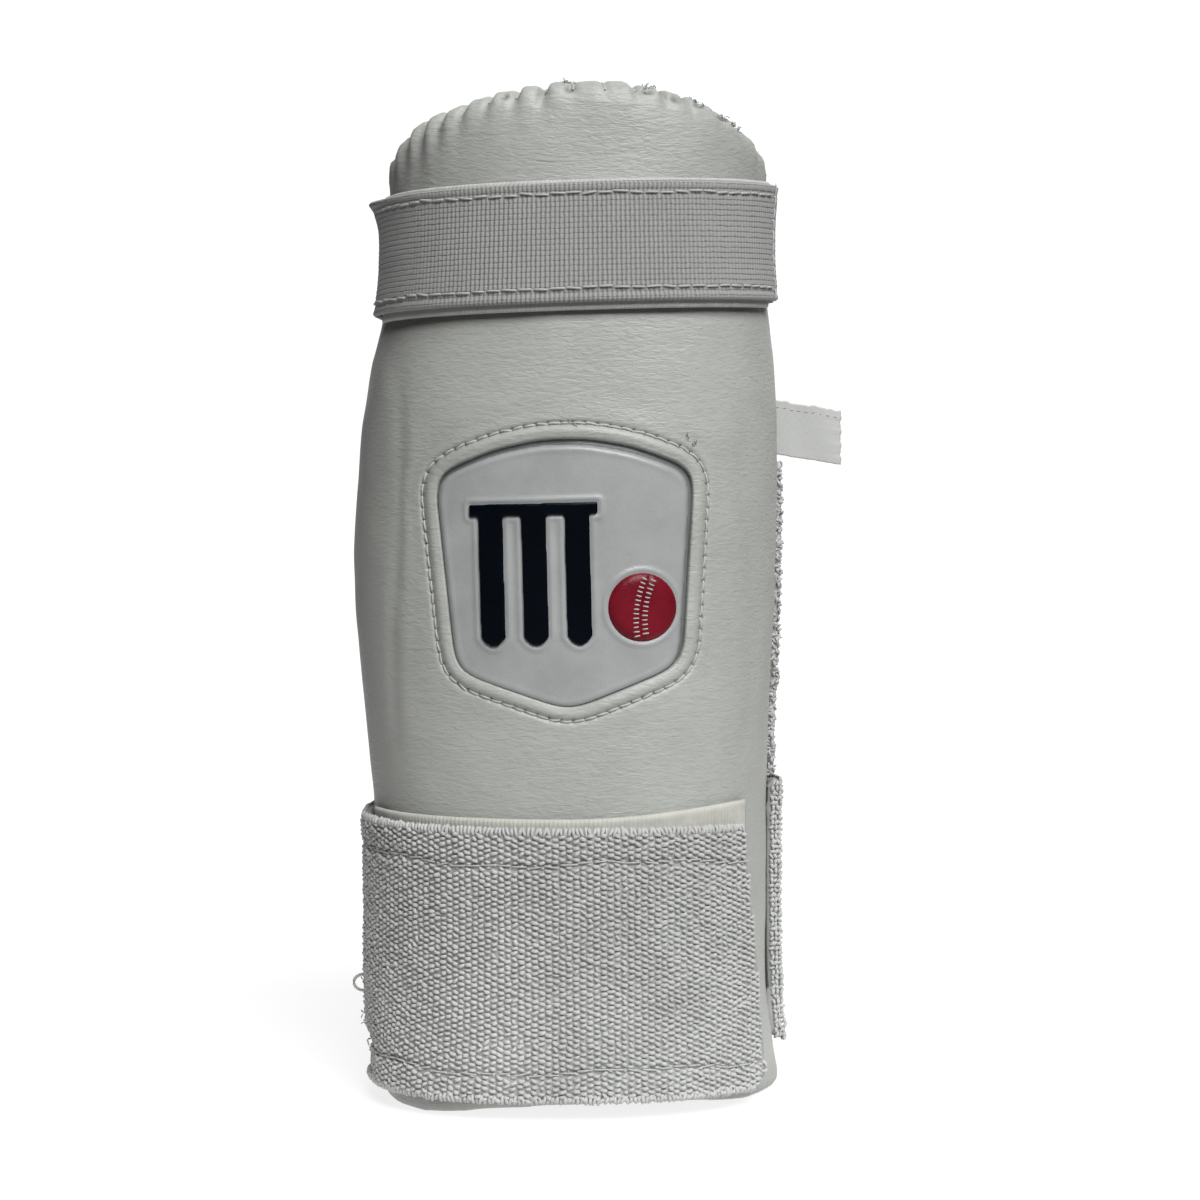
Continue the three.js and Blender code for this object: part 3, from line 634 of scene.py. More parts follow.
def scatter(name, small, places, axes, scales, finish, slot):
    # Many copies of one small shape as a joined mesh. Each row of axes is the ways of its x, y and z.
    points = np.array([v.co[:] for v in small.verts])
    small.verts.index_update()
    faces = np.array([[v.index for v in f.verts] for f in small.faces])
    copies = np.einsum("vk,nk,nkd->nvd", points, scales, axes) + places[:, None, :]
    count, size = len(places), len(points)
    loops = (faces[None] + size * np.arange(count)[:, None, None]).reshape(-1)
    mesh = bpy.data.meshes.new(name)
    mesh.vertices.add(count * size)
    mesh.vertices.foreach_set("co", copies.astype(np.float32).ravel())
    mesh.loops.add(len(loops))
    mesh.loops.foreach_set("vertex_index", loops.astype(np.int32))
    mesh.polygons.add(len(loops) // faces.shape[1])
    mesh.polygons.foreach_set("loop_start", np.arange(0, len(loops), faces.shape[1], dtype=np.int32))
    mesh.update()
    mesh.validate()
    return addPiece(name, mesh, finish)


def archUnit(sides, steps, length, height, thickness):
    # A loop of yarn: a tube bent into a low arch along x, standing on z = 0.
    arch = bmesh.new()
    ring = bmesh.ops.create_circle(arch, cap_ends=False, segments=sides, radius=0.5)["verts"]
    bmesh.ops.transform(arch, verts=ring, matrix=Matrix.Translation((-1, 0, 0)))
    bmesh.ops.spin(
        arch, geom=arch.verts[:] + arch.edges[:], cent=(0, 0, 0), axis=(0, 1, 0), angle=math.pi, steps=steps
    )
    bmesh.ops.recalc_face_normals(arch, faces=arch.faces)
    for vert in arch.verts:
        turn = math.atan2(vert.co.z, vert.co.x)
        ringOut = math.hypot(vert.co.x, vert.co.z) - 1
        vert.co = (
            math.cos(turn) * (length / 2 + ringOut * thickness),
            vert.co.y * thickness,
            math.sin(turn) * (height - thickness / 2 + ringOut * thickness),
        )
    return arch


print("frame shapes ready")

# The badge's window, read from its plate
badge = {
    "gap": 0.3 * mm,
    "windowDepth": 2.4 * mm,
    "edgeRound": 0.9 * mm,
    "swell": 0.45 * mm,
    "stitchOut": 3.3 * mm,  # the stitches lie this far outside the window
    "grooveDepth": 0.55 * mm,
    "grooveHalf": 0.75 * mm,
    "blendFrom": 6 * mm,
    "blendTo": 10 * mm,
    "stitchPitch": 3.1 * mm,
    "outlineRound": 3.0,  # in places of the outline, 1 mm apart
    "regrow": 0.35 * mm,
    "readStep": 1.5 * mm,
    "readBlur": 2.0,
}


def hullOutline(points):
    # The convex outline of a shape seen from the front.
    flat = [(p[0], p[2]) for p in points]
    hull = np.array([flat[i] for i in convex_hull_2d(flat)])
    apart = np.linalg.norm(hull - np.roll(hull, 1, axis=0), axis=1) > 0.1 * mm
    return hull[apart]


def outlineNormals(outline):
    way = np.roll(outline, -1, axis=0) - outline
    normals = unit(np.stack([way[:, 1], -way[:, 0]], axis=1))
    middle = outline.mean(axis=0)
    if ((outline - middle) * normals).sum() < 0:
        normals = -normals
    return normals


def outlineDistance(outline, x, z):
    # How far places lie outside a convex outline, and below zero inside it.
    normals = outlineNormals(outline)
    nextPoints = np.roll(outline, -1, axis=0)
    nearest = np.full(len(x), 1.0)
    outside = np.full(len(x), -1.0)
    for start, end, normal in zip(outline, nextPoints, normals):
        way = end - start
        share = ((x - start[0]) * way[0] + (z - start[1]) * way[1]) / (way @ way)
        share = np.clip(share, 0, 1)
        away = np.hypot(x - start[0] - share * way[0], z - start[1] - share * way[1])
        nearest = np.minimum(nearest, away)
        outside = np.maximum(outside, (x - start[0]) * normal[0] + (z - start[1]) * normal[1])
    return np.where(outside > 0, nearest, -nearest)


def evenOutline(outline, out, pitch):
    # Places at an even pitch on an outline grown by a distance.
    normals = outlineNormals(outline)
    before = np.roll(normals, 1, axis=0)
    corner = normals + before
    corner /= np.maximum((corner * normals).sum(axis=1), 0.3)[:, None]
    grown = outline + corner * out
    closed = np.vstack([grown, grown[:1]])
    run = np.concatenate([[0], np.cumsum(np.linalg.norm(np.diff(closed, axis=0), axis=1))])
    count = int(round(run[-1] / pitch))
    stops = np.arange(count) * run[-1] / count
    return np.stack([np.interp(stops, run, closed[:, 0]), np.interp(stops, run, closed[:, 1])], axis=1)


def rounded(outline, spread):
    # Softens the corners of an outline with even places.
    count = len(outline)
    padded = np.vstack([outline, outline, outline])
    return blurred(padded, spread)[count : 2 * count]


plateCopy = cadCopy("badge_plate")
plateHull = hullOutline([v.co[:] for v in plateCopy.verts])
plateOutline = evenOutline(plateHull, badge["gap"] + badge["regrow"], 1.0 * mm)
windowOutline = rounded(plateOutline, badge["outlineRound"])
shellCopy = cadCopy("padded_shell")
shellTree = BVHTree.FromBMesh(shellCopy)


def readFront():
    # The front of the leather without its window, as a table of y by x and z.
    step = badge["readStep"]
    low, high = windowOutline.min(axis=0) - 12 * mm, windowOutline.max(axis=0) + 12 * mm
    xs, zs = np.arange(low[0], high[0], step), np.arange(low[1], high[1], step)
    table = np.zeros((len(xs), len(zs)))
    for i, x in enumerate(xs):
        distance = outlineDistance(windowOutline, np.full(len(zs), x), zs)
        for j, z in enumerate(zs):
            place, normal, _, _ = shellTree.ray_cast(Vector((x, -rayReach, z)), Vector((0, 1, 0)), rayReach)
            y = place.y if place else 0.0
            if distance[j] < 0:
                y -= badge["windowDepth"] / max(0.5, abs(normal.y))
            table[i, j] = y
    table = blurred(table, badge["readBlur"])
    table = blurred(table.T, badge["readBlur"]).T
    return {"xs": xs, "zs": zs, "table": table}


frontSkin = readFront()


def onFront(x, z):
    # The y of the front skin at places of the badge.
    xs, zs = frontSkin["xs"], frontSkin["zs"]
    across = np.clip((x - xs[0]) / (xs[1] - xs[0]), 0, len(xs) - 1.001)
    up = np.clip((z - zs[0]) / (zs[1] - zs[0]), 0, len(zs) - 1.001)
    return between(frontSkin["table"], across, up)


def frontAt(x, z):
    return onFront(np.array([x]), np.array([z]))[0]


print("front of the shell read")

# The straps and the tapes that they close on
elbowTapeBand = readBand("elbow_tape", 120, 2.0)
wristTapeBand = readBand("wrist_tape", 120, 2.0)
elbowBand = readBand("elbow_strap", 88)
wristBand = readBand("wrist_strap", 75)

# Padded leather shell
leather = {
    "tapeShade": 2.6 * mm,  # the hollow below the elbow tape, recessed and painted dark as its shadow
    "tapeHollow": 0.7 * mm,
    "voxel": 1.37 * mm,
    "smooths": 5,
    "calmed": ((3, 6), (6, 14), (10, 34)),  # depths below the rim in mm, and smoothing rounds from there
    "calmTo": 48 * mm,
    "gatherDepth": 1.9 * mm,
    "gatherWidth": 0.9 * mm,
    "gatherSpread": 0.16,  # each pinch widens by this share of the way down from the rim
    "puff": 0.9 * mm,
    "puffLength": 7 * mm,
    "holeDepth": 0.6 * mm,
    "holeHalf": 0.42 * mm,
    "fineRim": 15 * mm,
    "unevenness": 0.4 * mm,
    "needleHoles": ((30.6 * mm, 104.9 * mm), (32.4 * mm, 105.1 * mm)),
    "rimReadHeight": 226 * mm,
    "creaseDepth": 0.3 * mm,
    "slitDepth": 1.1 * mm,
    "underElbow": 2.0 * mm,  # the leather stays this far below the straps' outer faces
    "underWrist": 2.9 * mm,
    "pressEase": 4 * mm,
}
# Stitches that gather the leather round the rim, as in the CAD: across is a share of the half outline.
gathers = [
    {"across": -0.9, "pinch": 0.5, "length": 4},
    {"across": -0.76, "pinch": 0.7, "length": 5},
    {"across": -0.65, "pinch": 1.0, "length": 7},
    {"across": -0.57, "pinch": 1.2, "length": 9},
    {"across": -0.5, "pinch": 1.3, "length": 11},
    {"across": -0.43, "pinch": 1.0, "length": 9},
    {"across": -0.355, "pinch": 0.9, "length": 6},
    {"across": -0.27, "pinch": 0.8, "length": 4.5},
    {"across": -0.18, "pinch": 0.9, "length": 4},
    {"across": -0.09, "pinch": 1.2, "length": 4},
    {"across": 0.01, "pinch": 0.2, "length": 2.5},
    {"across": 0.11, "pinch": 0.3, "length": 2.5},
    {"across": 0.21, "pinch": 0.7, "length": 3},
    {"across": 0.3, "pinch": 1.0, "length": 3.5},
    {"across": 0.38, "pinch": 0.9, "length": 3.5},
    {"across": 0.48, "pinch": 0.9, "length": 3},
    {"across": 0.57, "pinch": 1.1, "length": 3.5},
    {"across": 0.67, "pinch": 0.8, "length": 5},
    {"across": 0.78, "pinch": 0.4, "length": 4},
    {"across": 0.9, "pinch": 0.4, "length": 4},
]
# Slits torn by the rim's stitches: the place across, the depth below the rim and the half sizes, in mm.
slits = (
    {"x": -24.0, "drop": 2.2, "wide": 1.0, "tall": 0.7},
    {"x": -7.6, "drop": 2.0, "wide": 1.1, "tall": 0.9},
    {"x": 11.9, "drop": 2.0, "wide": 1.5, "tall": 0.6},
    {"x": 19.7, "drop": 2.6, "wide": 1.6, "tall": 0.8},
    {"x": 25.4, "drop": 2.4, "wide": 1.2, "tall": 0.7},
    {"x": 31.6, "drop": 2.8, "wide": 1.4, "tall": 0.8},
    {"x": 35.3, "drop": 3.2, "wide": 0.8, "tall": 1.2},
)
# Soft upright creases in the leather of the front.
creases = [
    {"x": -52.5, "low": 88, "high": 196, "half": 1.6, "share": 1.0},
    {"x": 38.5, "low": 92, "high": 190, "half": 2.2, "share": 0.8},
    {"x": -38.0, "low": 14, "high": 84, "half": 3.0, "share": 0.4},
]


def readRim():
    # The run round the rim and the rim's height, by angle.
    points = np.array([v.co[:] for v in shellCopy.verts])
    turns = angleOf(points)
    angles = np.arange(-112.0, 113.0, 1.0)
    heights = np.array([points[abs(turns - a) < 4.0, 2].max() for a in angles])
    heights = blurred(heights[:, None], 3.0)[:, 0]
    reach = filled([lookIn(shellTree, a, leather["rimReadHeight"]) for a in angles])
    run = runRound(angles, reach)
    ends = [a for a in angles if lookIn(shellTree, a, leather["rimReadHeight"]) is not None]
    left, right = -np.interp(min(ends), angles, run), np.interp(max(ends), angles, run)
    print("rim run", left / mm, right / mm, "angles", min(ends), max(ends))
    return {"angles": angles, "height": heights, "run": run, "left": left, "right": right}


rim = readRim()


def windowPlug():
    # Fills the window before the leather is made even.
    low, high = windowOutline.min(axis=0), windowOutline.max(axis=0)
    plug = bmesh.new()
    bmesh.ops.create_grid(plug, x_segments=40, y_segments=40, size=1)
    for vert in plug.verts:
        x = low[0] + (vert.co.x + 1) / 2 * (high[0] - low[0])
        z = low[1] + (vert.co.y + 1) / 2 * (high[1] - low[1])
        vert.co = (x, frontAt(x, z), z)
    made = bmesh.ops.extrude_face_region(plug, geom=plug.faces[:])["geom"]
    bmesh.ops.translate(plug, verts=vertsOf(made), vec=(0, 4 * mm, 0))
    bmesh.ops.recalc_face_normals(plug, faces=plug.faces)
    return plug


def vertsOf(geometry):
    return [g for g in geometry if isinstance(g, bmesh.types.BMVert)]


def joined(first, second):
    # Adds the second shape's faces to the first.
    spare = bpy.data.meshes.new("spare")
    second.to_mesh(spare)
    first.from_mesh(spare)
    bpy.data.meshes.remove(spare)
    return first


def refine(shape, wanted):
    # Halves the edges whose two ends are both wanted.
    points = np.array([v.co[:] for v in shape.verts])
    chosen = wanted(points)
    shape.verts.index_update()
    edges = [e for e in shape.edges if chosen[e.verts[0].index] and chosen[e.verts[1].index]]
    bmesh.ops.subdivide_edges(shape, edges=edges, cuts=1, use_grid_fill=True)


def calmDome(shape):
    # Eases the long folds below the rim, so that only the short gathers stay.
    for depth, rounds in leather["calmed"]:
        points = np.array([v.co[:] for v in shape.verts])
        drop = np.interp(angleOf(points), rim["angles"], rim["height"]) - points[:, 2]
        chosen = (drop > depth * mm) & (drop < leather["calmTo"])
        ease(shape, [v for v, picked in zip(shape.verts, chosen) if picked], rounds)


def nearWindow(distance):
    def wanted(points):
        away = outlineDistance(windowOutline, points[:, 0], points[:, 2])
        inFront = points[:, 1] < onFront(points[:, 0], points[:, 2]) + 2.5 * mm
        return (abs(away - 1.2 * mm) < distance) & inFront

    return wanted


def nearRim(points):
    return np.interp(angleOf(points), rim["angles"], rim["height"]) - points[:, 2] < leather["fineRim"]


# How the padding fills the leather between the straps, the badge and the rim
puffing = {
    "voxel": 5 * mm,
    "pressure": 20.0,
    "frames": 20,
    "cap": 2.2 * mm,  # no place rises more
    "reach": 4 * mm,
    "freeFrom": 80,  # degrees from the middle of the front: the free edges beyond it stay as cut
}


def heldLeather(points):
    # Where straps, stitches and the rim hold the leather down.
    turns = angleOf(points)
    drop = np.interp(turns, rim["angles"], rim["height"]) - points[:, 2]
    held = (drop < 4 * mm) | (points[:, 2] < 8 * mm) | (abs(turns) > puffing["freeFrom"] + 10)
    for band in (elbowTapeBand, wristTapeBand):
        low = np.interp(turns, band["angles"], band["low"])
        high = np.interp(turns, band["angles"], band["high"])
        held |= (points[:, 2] > low - 3 * mm) & (points[:, 2] < high + 3 * mm)
    away = outlineDistance(windowOutline, points[:, 0], points[:, 2])
    return held | (away < badge["stitchOut"] + 2 * mm)


def puffLeather():
    # A coarse copy of the leather, filled as cloth under pressure: its places and how far each one rose.
    shape = softRemesh(shellCopy.copy(), puffing["voxel"], 1)
    mesh = bpy.data.meshes.new("puffed")
    shape.to_mesh(mesh)
    holder = bpy.data.objects.new("puffed", mesh)
    scene = bpy.context.scene
    scene.collection.objects.link(holder)
    before, normals = meshPoints(mesh), meshNormals(mesh)
    pins = holder.vertex_groups.new(name="held")
    pins.add(np.flatnonzero(heldLeather(before)).tolist(), 1, "REPLACE")
    cloth = holder.modifiers.new("cloth", "CLOTH")
    cloth.settings.vertex_group_mass = "held"
    cloth.settings.use_pressure = True
    cloth.settings.uniform_pressure_force = puffing["pressure"]
    cloth.settings.effector_weights.gravity = 0
    for step in range(1, puffing["frames"] + 1):
        scene.frame_set(step)
    settled = holder.evaluated_get(bpy.context.evaluated_depsgraph_get())
    rose = ((meshPoints(settled.data) - before) * normals).sum(axis=1)
    scene.frame_set(1)
    bpy.data.objects.remove(holder)
    bpy.data.meshes.remove(mesh)
    print("leather filled, fullest rise in mm", (np.percentile(rose, 97) / mm).round(2))
    return before, np.clip(rose, 0, puffing["cap"])


def spread(places, values, points):
    # The values of the nearest places, eased over the points between them.
    tree = KDTree(len(places))
    for i, place in enumerate(places):
        tree.insert(place, i)
    tree.balance()
    result = np.zeros(len(points))
    for i, point in enumerate(points):
        near = tree.find_n(point, 8)
        weights = np.array([math.exp(-((away / puffing["reach"]) ** 2)) for _, _, away in near])
        result[i] = (weights * values[[index for _, index, _ in near]]).sum() / max(weights.sum(), 1e-9)
    return result


def pressUnder(points, band, depth):
    # Moves the leather in where a strap lies closer than it.
    turns = angleOf(points)
    turns = np.where(turns > band["angles"][-1] + 2, turns - 360, turns)
    low, high = (np.interp(turns, band["angles"], band[side]) for side in ("low", "high"))
    share = (points[:, 2] - low) / (high - low)
    place = onBand(band, np.interp(turns, band["angles"], band["run"]), np.clip(share, 0, 1))
    axis = np.array(guardAxis)
    away = np.linalg.norm(points[:, :2] - axis, axis=1)
    reach = np.linalg.norm(place[:, :2] - axis, axis=1)
    beyond = np.maximum(low - points[:, 2], points[:, 2] - high)
    cover = np.clip(1 - beyond / leather["pressEase"], 0, 1) * np.clip(turns - band["angles"][0] + 1, 0, 1)
    cover = cover * cover * (3 - 2 * cover) * (turns < band["angles"][-1])
    press = np.clip(away - reach + depth, 0, 5 * mm) * cover
    points[:, :2] -= (points[:, :2] - axis) * (press / away)[:, None]
    print("leather pressed in by up to", (press.max() / mm).round(2), "mm")


def bell(away, half):
    return np.exp(-((away / half) ** 2))


def sculptLeather(mesh):
    points, normals = meshPoints(mesh), meshNormals(mesh)
    turns = angleOf(points)
    outward = np.stack([np.sin(np.radians(turns)), -np.cos(np.radians(turns)), 0 * turns], axis=1)
    outer = np.clip((normals * outward).sum(axis=1) * 2 + 0.6, 0, 1)
    # Slack leather over its padding
    uneven = np.array([noise.noise(Vector(p) * 42) + 0.5 * noise.noise(Vector(p) * 95) for p in points])
    lift = leather["unevenness"] * uneven
    free = np.clip((puffing["freeFrom"] - abs(turns)) / 20, 0, 1)
    lift += spread(*puffLeather(), points) * free
    # Gathers at the rim
    drop = np.maximum(np.interp(turns, rim["angles"], rim["height"]) - points[:, 2], 0)
    run = np.interp(turns, rim["angles"], rim["run"])
    pinched = np.zeros(len(points))
    for gather in gathers:
        place = gather["across"] * (rim["left"] if gather["across"] < 0 else rim["right"])
        half = leather["gatherWidth"] + leather["gatherSpread"] * drop
        lower = np.exp(-((drop / (gather["length"] * mm)) ** 1.4))
        pinched += gather["pinch"] * bell(run - place, half) * lower
    nearby = drop < 40 * mm
    lift -= np.where(nearby, leather["gatherDepth"] * pinched, 0)
    full = leather["puff"] * np.exp(-drop / leather["puffLength"])
    lift += np.where(nearby, full * (1 - np.clip(pinched, 0, 1)), 0)
    torn = np.zeros(len(points))
    for slit in slits:
        beside = (points[:, 0] / mm - slit["x"]) / slit["wide"]
        torn += np.exp(-(beside**2) - ((drop / mm - slit["drop"]) / slit["tall"]) ** 2)
    torn = np.clip(torn * (outer > 0.5) * (points[:, 1] < guardAxis.y), 0, 1)
    lift -= leather["slitDepth"] * torn
    # Creases
    for crease in creases:
        wander = 1.2 * mm * np.sin(points[:, 2] / mm / 17 + crease["x"])
        beside = (points[:, 0] - crease["x"] * mm - wander) / (crease["half"] * mm)
        within = np.clip((points[:, 2] / mm - crease["low"]) / 20, 0, 1)
        within *= np.clip((crease["high"] - points[:, 2] / mm) / 20, 0, 1)
        within *= points[:, 1] < guardAxis.y + 12 * mm
        within *= bell(beside, 1) - 0.4 * bell(beside - 2, 1)
        lift -= leather["creaseDepth"] * crease["share"] * within
    # The hollow below the elbow tape
    tapeLow = np.interp(turns, elbowTapeBand["angles"], elbowTapeBand["low"])
    below = (tapeLow - points[:, 2]) / leather["tapeShade"]
    ends = elbowTapeBand["angles"][[0, -1]]
    hollow = np.clip(1.15 - below, 0, 1) * (below > -1) * (outer > 0.5)
    hollow *= (turns > ends[0]) & (turns < ends[1])
    lift -= leather["tapeHollow"] * hollow * np.clip(1.5 - below, 0, 1)
    points += normals * (lift * outer)[:, None]
    pressUnder(points, elbowBand, leather["underElbow"])
    pressUnder(points, wristBand, leather["underWrist"])
    # The window, its swollen border and the groove of its stitches
    away = outlineDistance(windowOutline, points[:, 0], points[:, 2])
    skin = onFront(points[:, 0], points[:, 2])
    facing = (points[:, 1] < skin + 3 * mm) & (away < badge["blendTo"])
    inside = np.clip(-away / badge["edgeRound"], 0, 1)
    depth = badge["windowDepth"] * (1 - np.sqrt(np.clip(1 - inside**2, 0, 1)))
    swell = badge["swell"] * bell(away - 1.5 * mm, 1.3 * mm)
    groove = badge["grooveDepth"] * bell(away - badge["stitchOut"], badge["grooveHalf"])
    stops = evenOutline(windowOutline, badge["stitchOut"], badge["stitchPitch"])
    holes = (stops + np.roll(stops, -1, axis=0)) / 2
    pits = np.zeros(len(points))
    ring = np.flatnonzero(facing & (abs(away - badge["stitchOut"]) < 1.5 * mm))
    apart = np.linalg.norm(points[ring][:, None, [0, 2]] - holes[None], axis=2).min(axis=1)
    pits[ring] = bell(apart, leather["holeHalf"])
    for x, z in leather["needleHoles"]:
        pits += bell(np.hypot(points[:, 0] - x, points[:, 2] - z), leather["holeHalf"]) * facing
    shaped = skin + depth - swell + groove + leather["holeDepth"] * pits
    blend = np.clip((badge["blendTo"] - away) / (badge["blendTo"] - badge["blendFrom"]), 0, 1)
    blend = blend * blend * (3 - 2 * blend)
    points[:, 1] = np.where(facing, points[:, 1] * (1 - blend) + shaped * blend, points[:, 1])
    setPoints(mesh, points)
    # Painted shade: darker in the stitch holes, the torn slits, the stitch groove, the window's wall, the
    # gathers, the hollow below the elbow tape and the lowest 10 mm above the foot
    paintedShade = 0.6 * np.clip(hollow * 1.6, 0, 1) + 0.5 * pits + 0.7 * torn
    paintedShade += (0.22 * bell(away - badge["stitchOut"], 0.6 * mm) + 0.25 * inside) * facing
    paintedShade += np.where(nearby, 0.3 * np.clip(pinched, 0, 1.2) * outer, 0)
    paintedShade += 0.3 * np.clip(1 - points[:, 2] / (10 * mm), 0, 1)
    addPaintedShade(mesh, paintedShade)


def makeLeather():
    shape = softRemesh(joined(shellCopy.copy(), windowPlug()), leather["voxel"], leather["smooths"])
    calmDome(shape)
    refine(shape, nearRim)
    refine(shape, nearWindow(6.5 * mm))
    refine(shape, nearWindow(4.5 * mm))
    mesh = meshOf(shape, "leatherShell")
    sculptLeather(mesh)
    piece = addPiece("leatherShell", mesh, leatherFinish, ["padded_shell"])
    return piece


leatherShell = makeLeather()
skinShape = bmesh.new()
skinShape.from_mesh(leatherShell.data)
skinTree = BVHTree.FromBMesh(skinShape)
print("leather shell made with", len(leatherShell.data.polygons), "faces")

# Threads
thread = {
    "sides": 5,
    "steps": 4,
    "dive": 0.12 * mm,  # the ends lie this far inside the cloth
    "unevenness": 0.06,
}


def sewRow(name, places, outs, alongs, slot, length, thick, bow, loose):
    # A row of stitches, each a short bent thread that dives into the cloth at its ends.
    ups = unit(np.cross(outs, alongs))
    axes = leaned(np.cross(ups, outs), ups, outs, rng.normal(0, loose, len(places)))
    scales = rng.normal(1, thread["unevenness"], (len(places), 3))
    arch = archUnit(thread["sides"], thread["steps"], length, bow, thick)
    scatter(name, arch, places - outs * thread["dive"], axes, scales, threadFinish, slot)


def tube(shape, path, thick, sides=6):
    # A thread that follows a path of places, added to a shape.
    path = [Vector(p) for p in path]
    ring = None
    for i, place in enumerate(path):
        way = (path[min(i + 1, len(path) - 1)] - path[max(i - 1, 0)]).normalized()
        turn = way.to_track_quat("Z", "Y").to_matrix().to_4x4()
        there = Matrix.Translation(place) @ turn
        if ring is None:
            made = bmesh.ops.create_circle(
                shape, cap_ends=True, segments=sides, radius=thick / 2, matrix=there
            )
            ring = list({e for v in made["verts"] for e in v.link_edges})
            before = there
            continue
        grown = bmesh.ops.extrude_edge_only(shape, edges=ring)["geom"]
        verts = vertsOf(grown)
        bmesh.ops.transform(shape, verts=verts, matrix=there @ before.inverted())
        ring = [g for g in grown if isinstance(g, bmesh.types.BMEdge)]
        before = there
    bmesh.ops.contextual_create(shape, geom=ring)


def addThread(name, shape):
    bmesh.ops.recalc_face_normals(shape, faces=shape.faces)
    addPiece(name, meshOf(shape, name), threadFinish)


def onLeather(x, z):
    # A place on the front of the leather and the way out of it.
    place, normal, _, _ = skinTree.ray_cast(Vector((x, -rayReach, z)), Vector((0, 1, 0)), rayReach)
    return np.array(place), np.array(normal)


def badgeStitches():
    stops = evenOutline(windowOutline, badge["stitchOut"], badge["stitchPitch"])
    found = [onLeather(x, z) for x, z in stops]
    places, outs = np.array([f[0] for f in found]), np.array([f[1] for f in found])
    alongs = unit(np.roll(places, -1, axis=0) - np.roll(places, 1, axis=0))
    sewRow("badgeStitches", places, outs, alongs, "white_leather", 2.6 * mm, 0.66 * mm, 0.62 * mm, 0.13)


badgeStitches()
print("badge stitches sewn")

# Elbow strap and its tape
elbowStrap = {
    "width": 30.2 * mm,
    "stitchFrom": -76 * mm,
    "ribPitch": 1.2 * mm,
    "rowPitch": 1.3 * mm,
    "ribStep": 0.4 * mm,
    "ribHeight": 0.12 * mm,
    "rowHeight": 0.05 * mm,
    "selvedge": 1.9 * mm,
    "beadHeight": 0.3 * mm,
    "beadHalf": 0.65 * mm,
    "thickness": 1.3 * mm,
    "curl": 2.2 * mm,
    "curlAt": -72 * mm,
    "stitchInset": 2.8 * mm,
    "stitchPitch": 4.05 * mm,
    "stitchLength": 3.3 * mm,
    "endInset": 3.4 * mm,
}


def bandSheet(
    name, band, start, end, columns, rows, lift, thickness, finish, node, edge=None, trim=None
):
    # A strap as an even sheet on its band, with its wall on the inner side. trim shortens its end.
    cloth = bmesh.new()
    bmesh.ops.create_grid(cloth, x_segments=columns, y_segments=rows, size=1)
    flat = np.array([v.co[:] for v in cloth.verts])
    share = (flat[:, 1] + 1) / 2
    run = start + (flat[:, 0] + 1) / 2 * (end - start - (trim(share) if trim else 0))
    width = bandWidth(band, run)
    if edge is not None:
        share = share + edge(run, share) / width
    points = onBand(band, run, share, lift(run, share * width, width))
    for vert, point in zip(cloth.verts, points):
        vert.co = point
    uvLayer = cloth.loops.layers.uv.new("cloth")
    cloth.verts.index_update()
    for face in cloth.faces:
        for loop in face.loops:
            i = loop.vert.index
            loop[uvLayer].uv = (run[i] / mm, share[i] * width[i] / mm)
    piece = addPiece(name, meshOf(cloth, name), finish, [node])
    wall = piece.modifiers.new("wall", "SOLIDIFY")
    wall.thickness = thickness
    wall.offset = -1
    wall.use_even_offset = False
    return piece


def elbowLift(run, up, width):
    made = elbowStrap
    inner = np.minimum(up, width - up)
    body = np.clip((inner - made["selvedge"]) / (0.8 * mm), 0, 1)
    lift = body * made["ribHeight"] * np.cos(2 * np.pi * run / made["ribPitch"])
    lift += body * made["rowHeight"] * np.cos(2 * np.pi * up / made["rowPitch"])
    lift += made["beadHeight"] * bell(inner - 0.8 * mm, made["beadHalf"])
    lift += (1 - body) * 0.06 * mm * np.cos(2 * np.pi * run / (made["ribPitch"] * 0.75))
    lift -= 0.5 * mm * np.exp(-inner / (0.25 * mm))
    lift -= 0.16 * mm * bell(inner - made["stitchInset"], 0.5 * mm)
    curl = bell(run - made["curlAt"], 9 * mm) * np.clip((up - width + 9 * mm) / (9 * mm), 0, 1) ** 2
    return lift + made["curl"] * curl - 0.15 * mm


def makeElbowStrap():
    made = elbowStrap
    start, end = elbowBand["run"][0], elbowBand["run"][-1]
    columns = int((end - start) / made["ribStep"])
    rows = int(round(made["width"] / (made["rowPitch"] / 2)))

    def wave(run, share):
        return 0.25 * mm * np.sin(run / (23 * mm)) * (share > 0.5)

    piece = bandSheet(
        "elbowStrap", elbowBand, start, end, columns, rows, elbowLift, made["thickness"],
        elasticFinish, "elbow_strap", wave,
    )
    for name, inset, top in (("elbowTopStitches", 0, True), ("elbowLowStitches", 0.8 * mm, False)):
        stops = np.arange(made["stitchFrom"], end - 6 * mm, made["stitchPitch"])
        width = bandWidth(elbowBand, stops)
        share = (made["stitchInset"] + inset) / width
        share = 1 - share if top else share
        share = share + rng.normal(0, 0.15 * mm, len(stops)) / width
        here, along, up, out = bandFrames(elbowBand, stops, share)
        sewRow(name, here, out, along, "white_elastic", made["stitchLength"], 0.6 * mm, 0.6 * mm, 0.07)
    shares = np.arange(0.06, 0.97, 0.1)
    stops = np.full(len(shares), end - made["endInset"])
    here, along, up, out = bandFrames(elbowBand, stops, shares)
    sewRow("elbowEndStitches", here, out, up, "white_elastic", 2.5 * mm, 0.62 * mm, 0.62 * mm, 0.12)


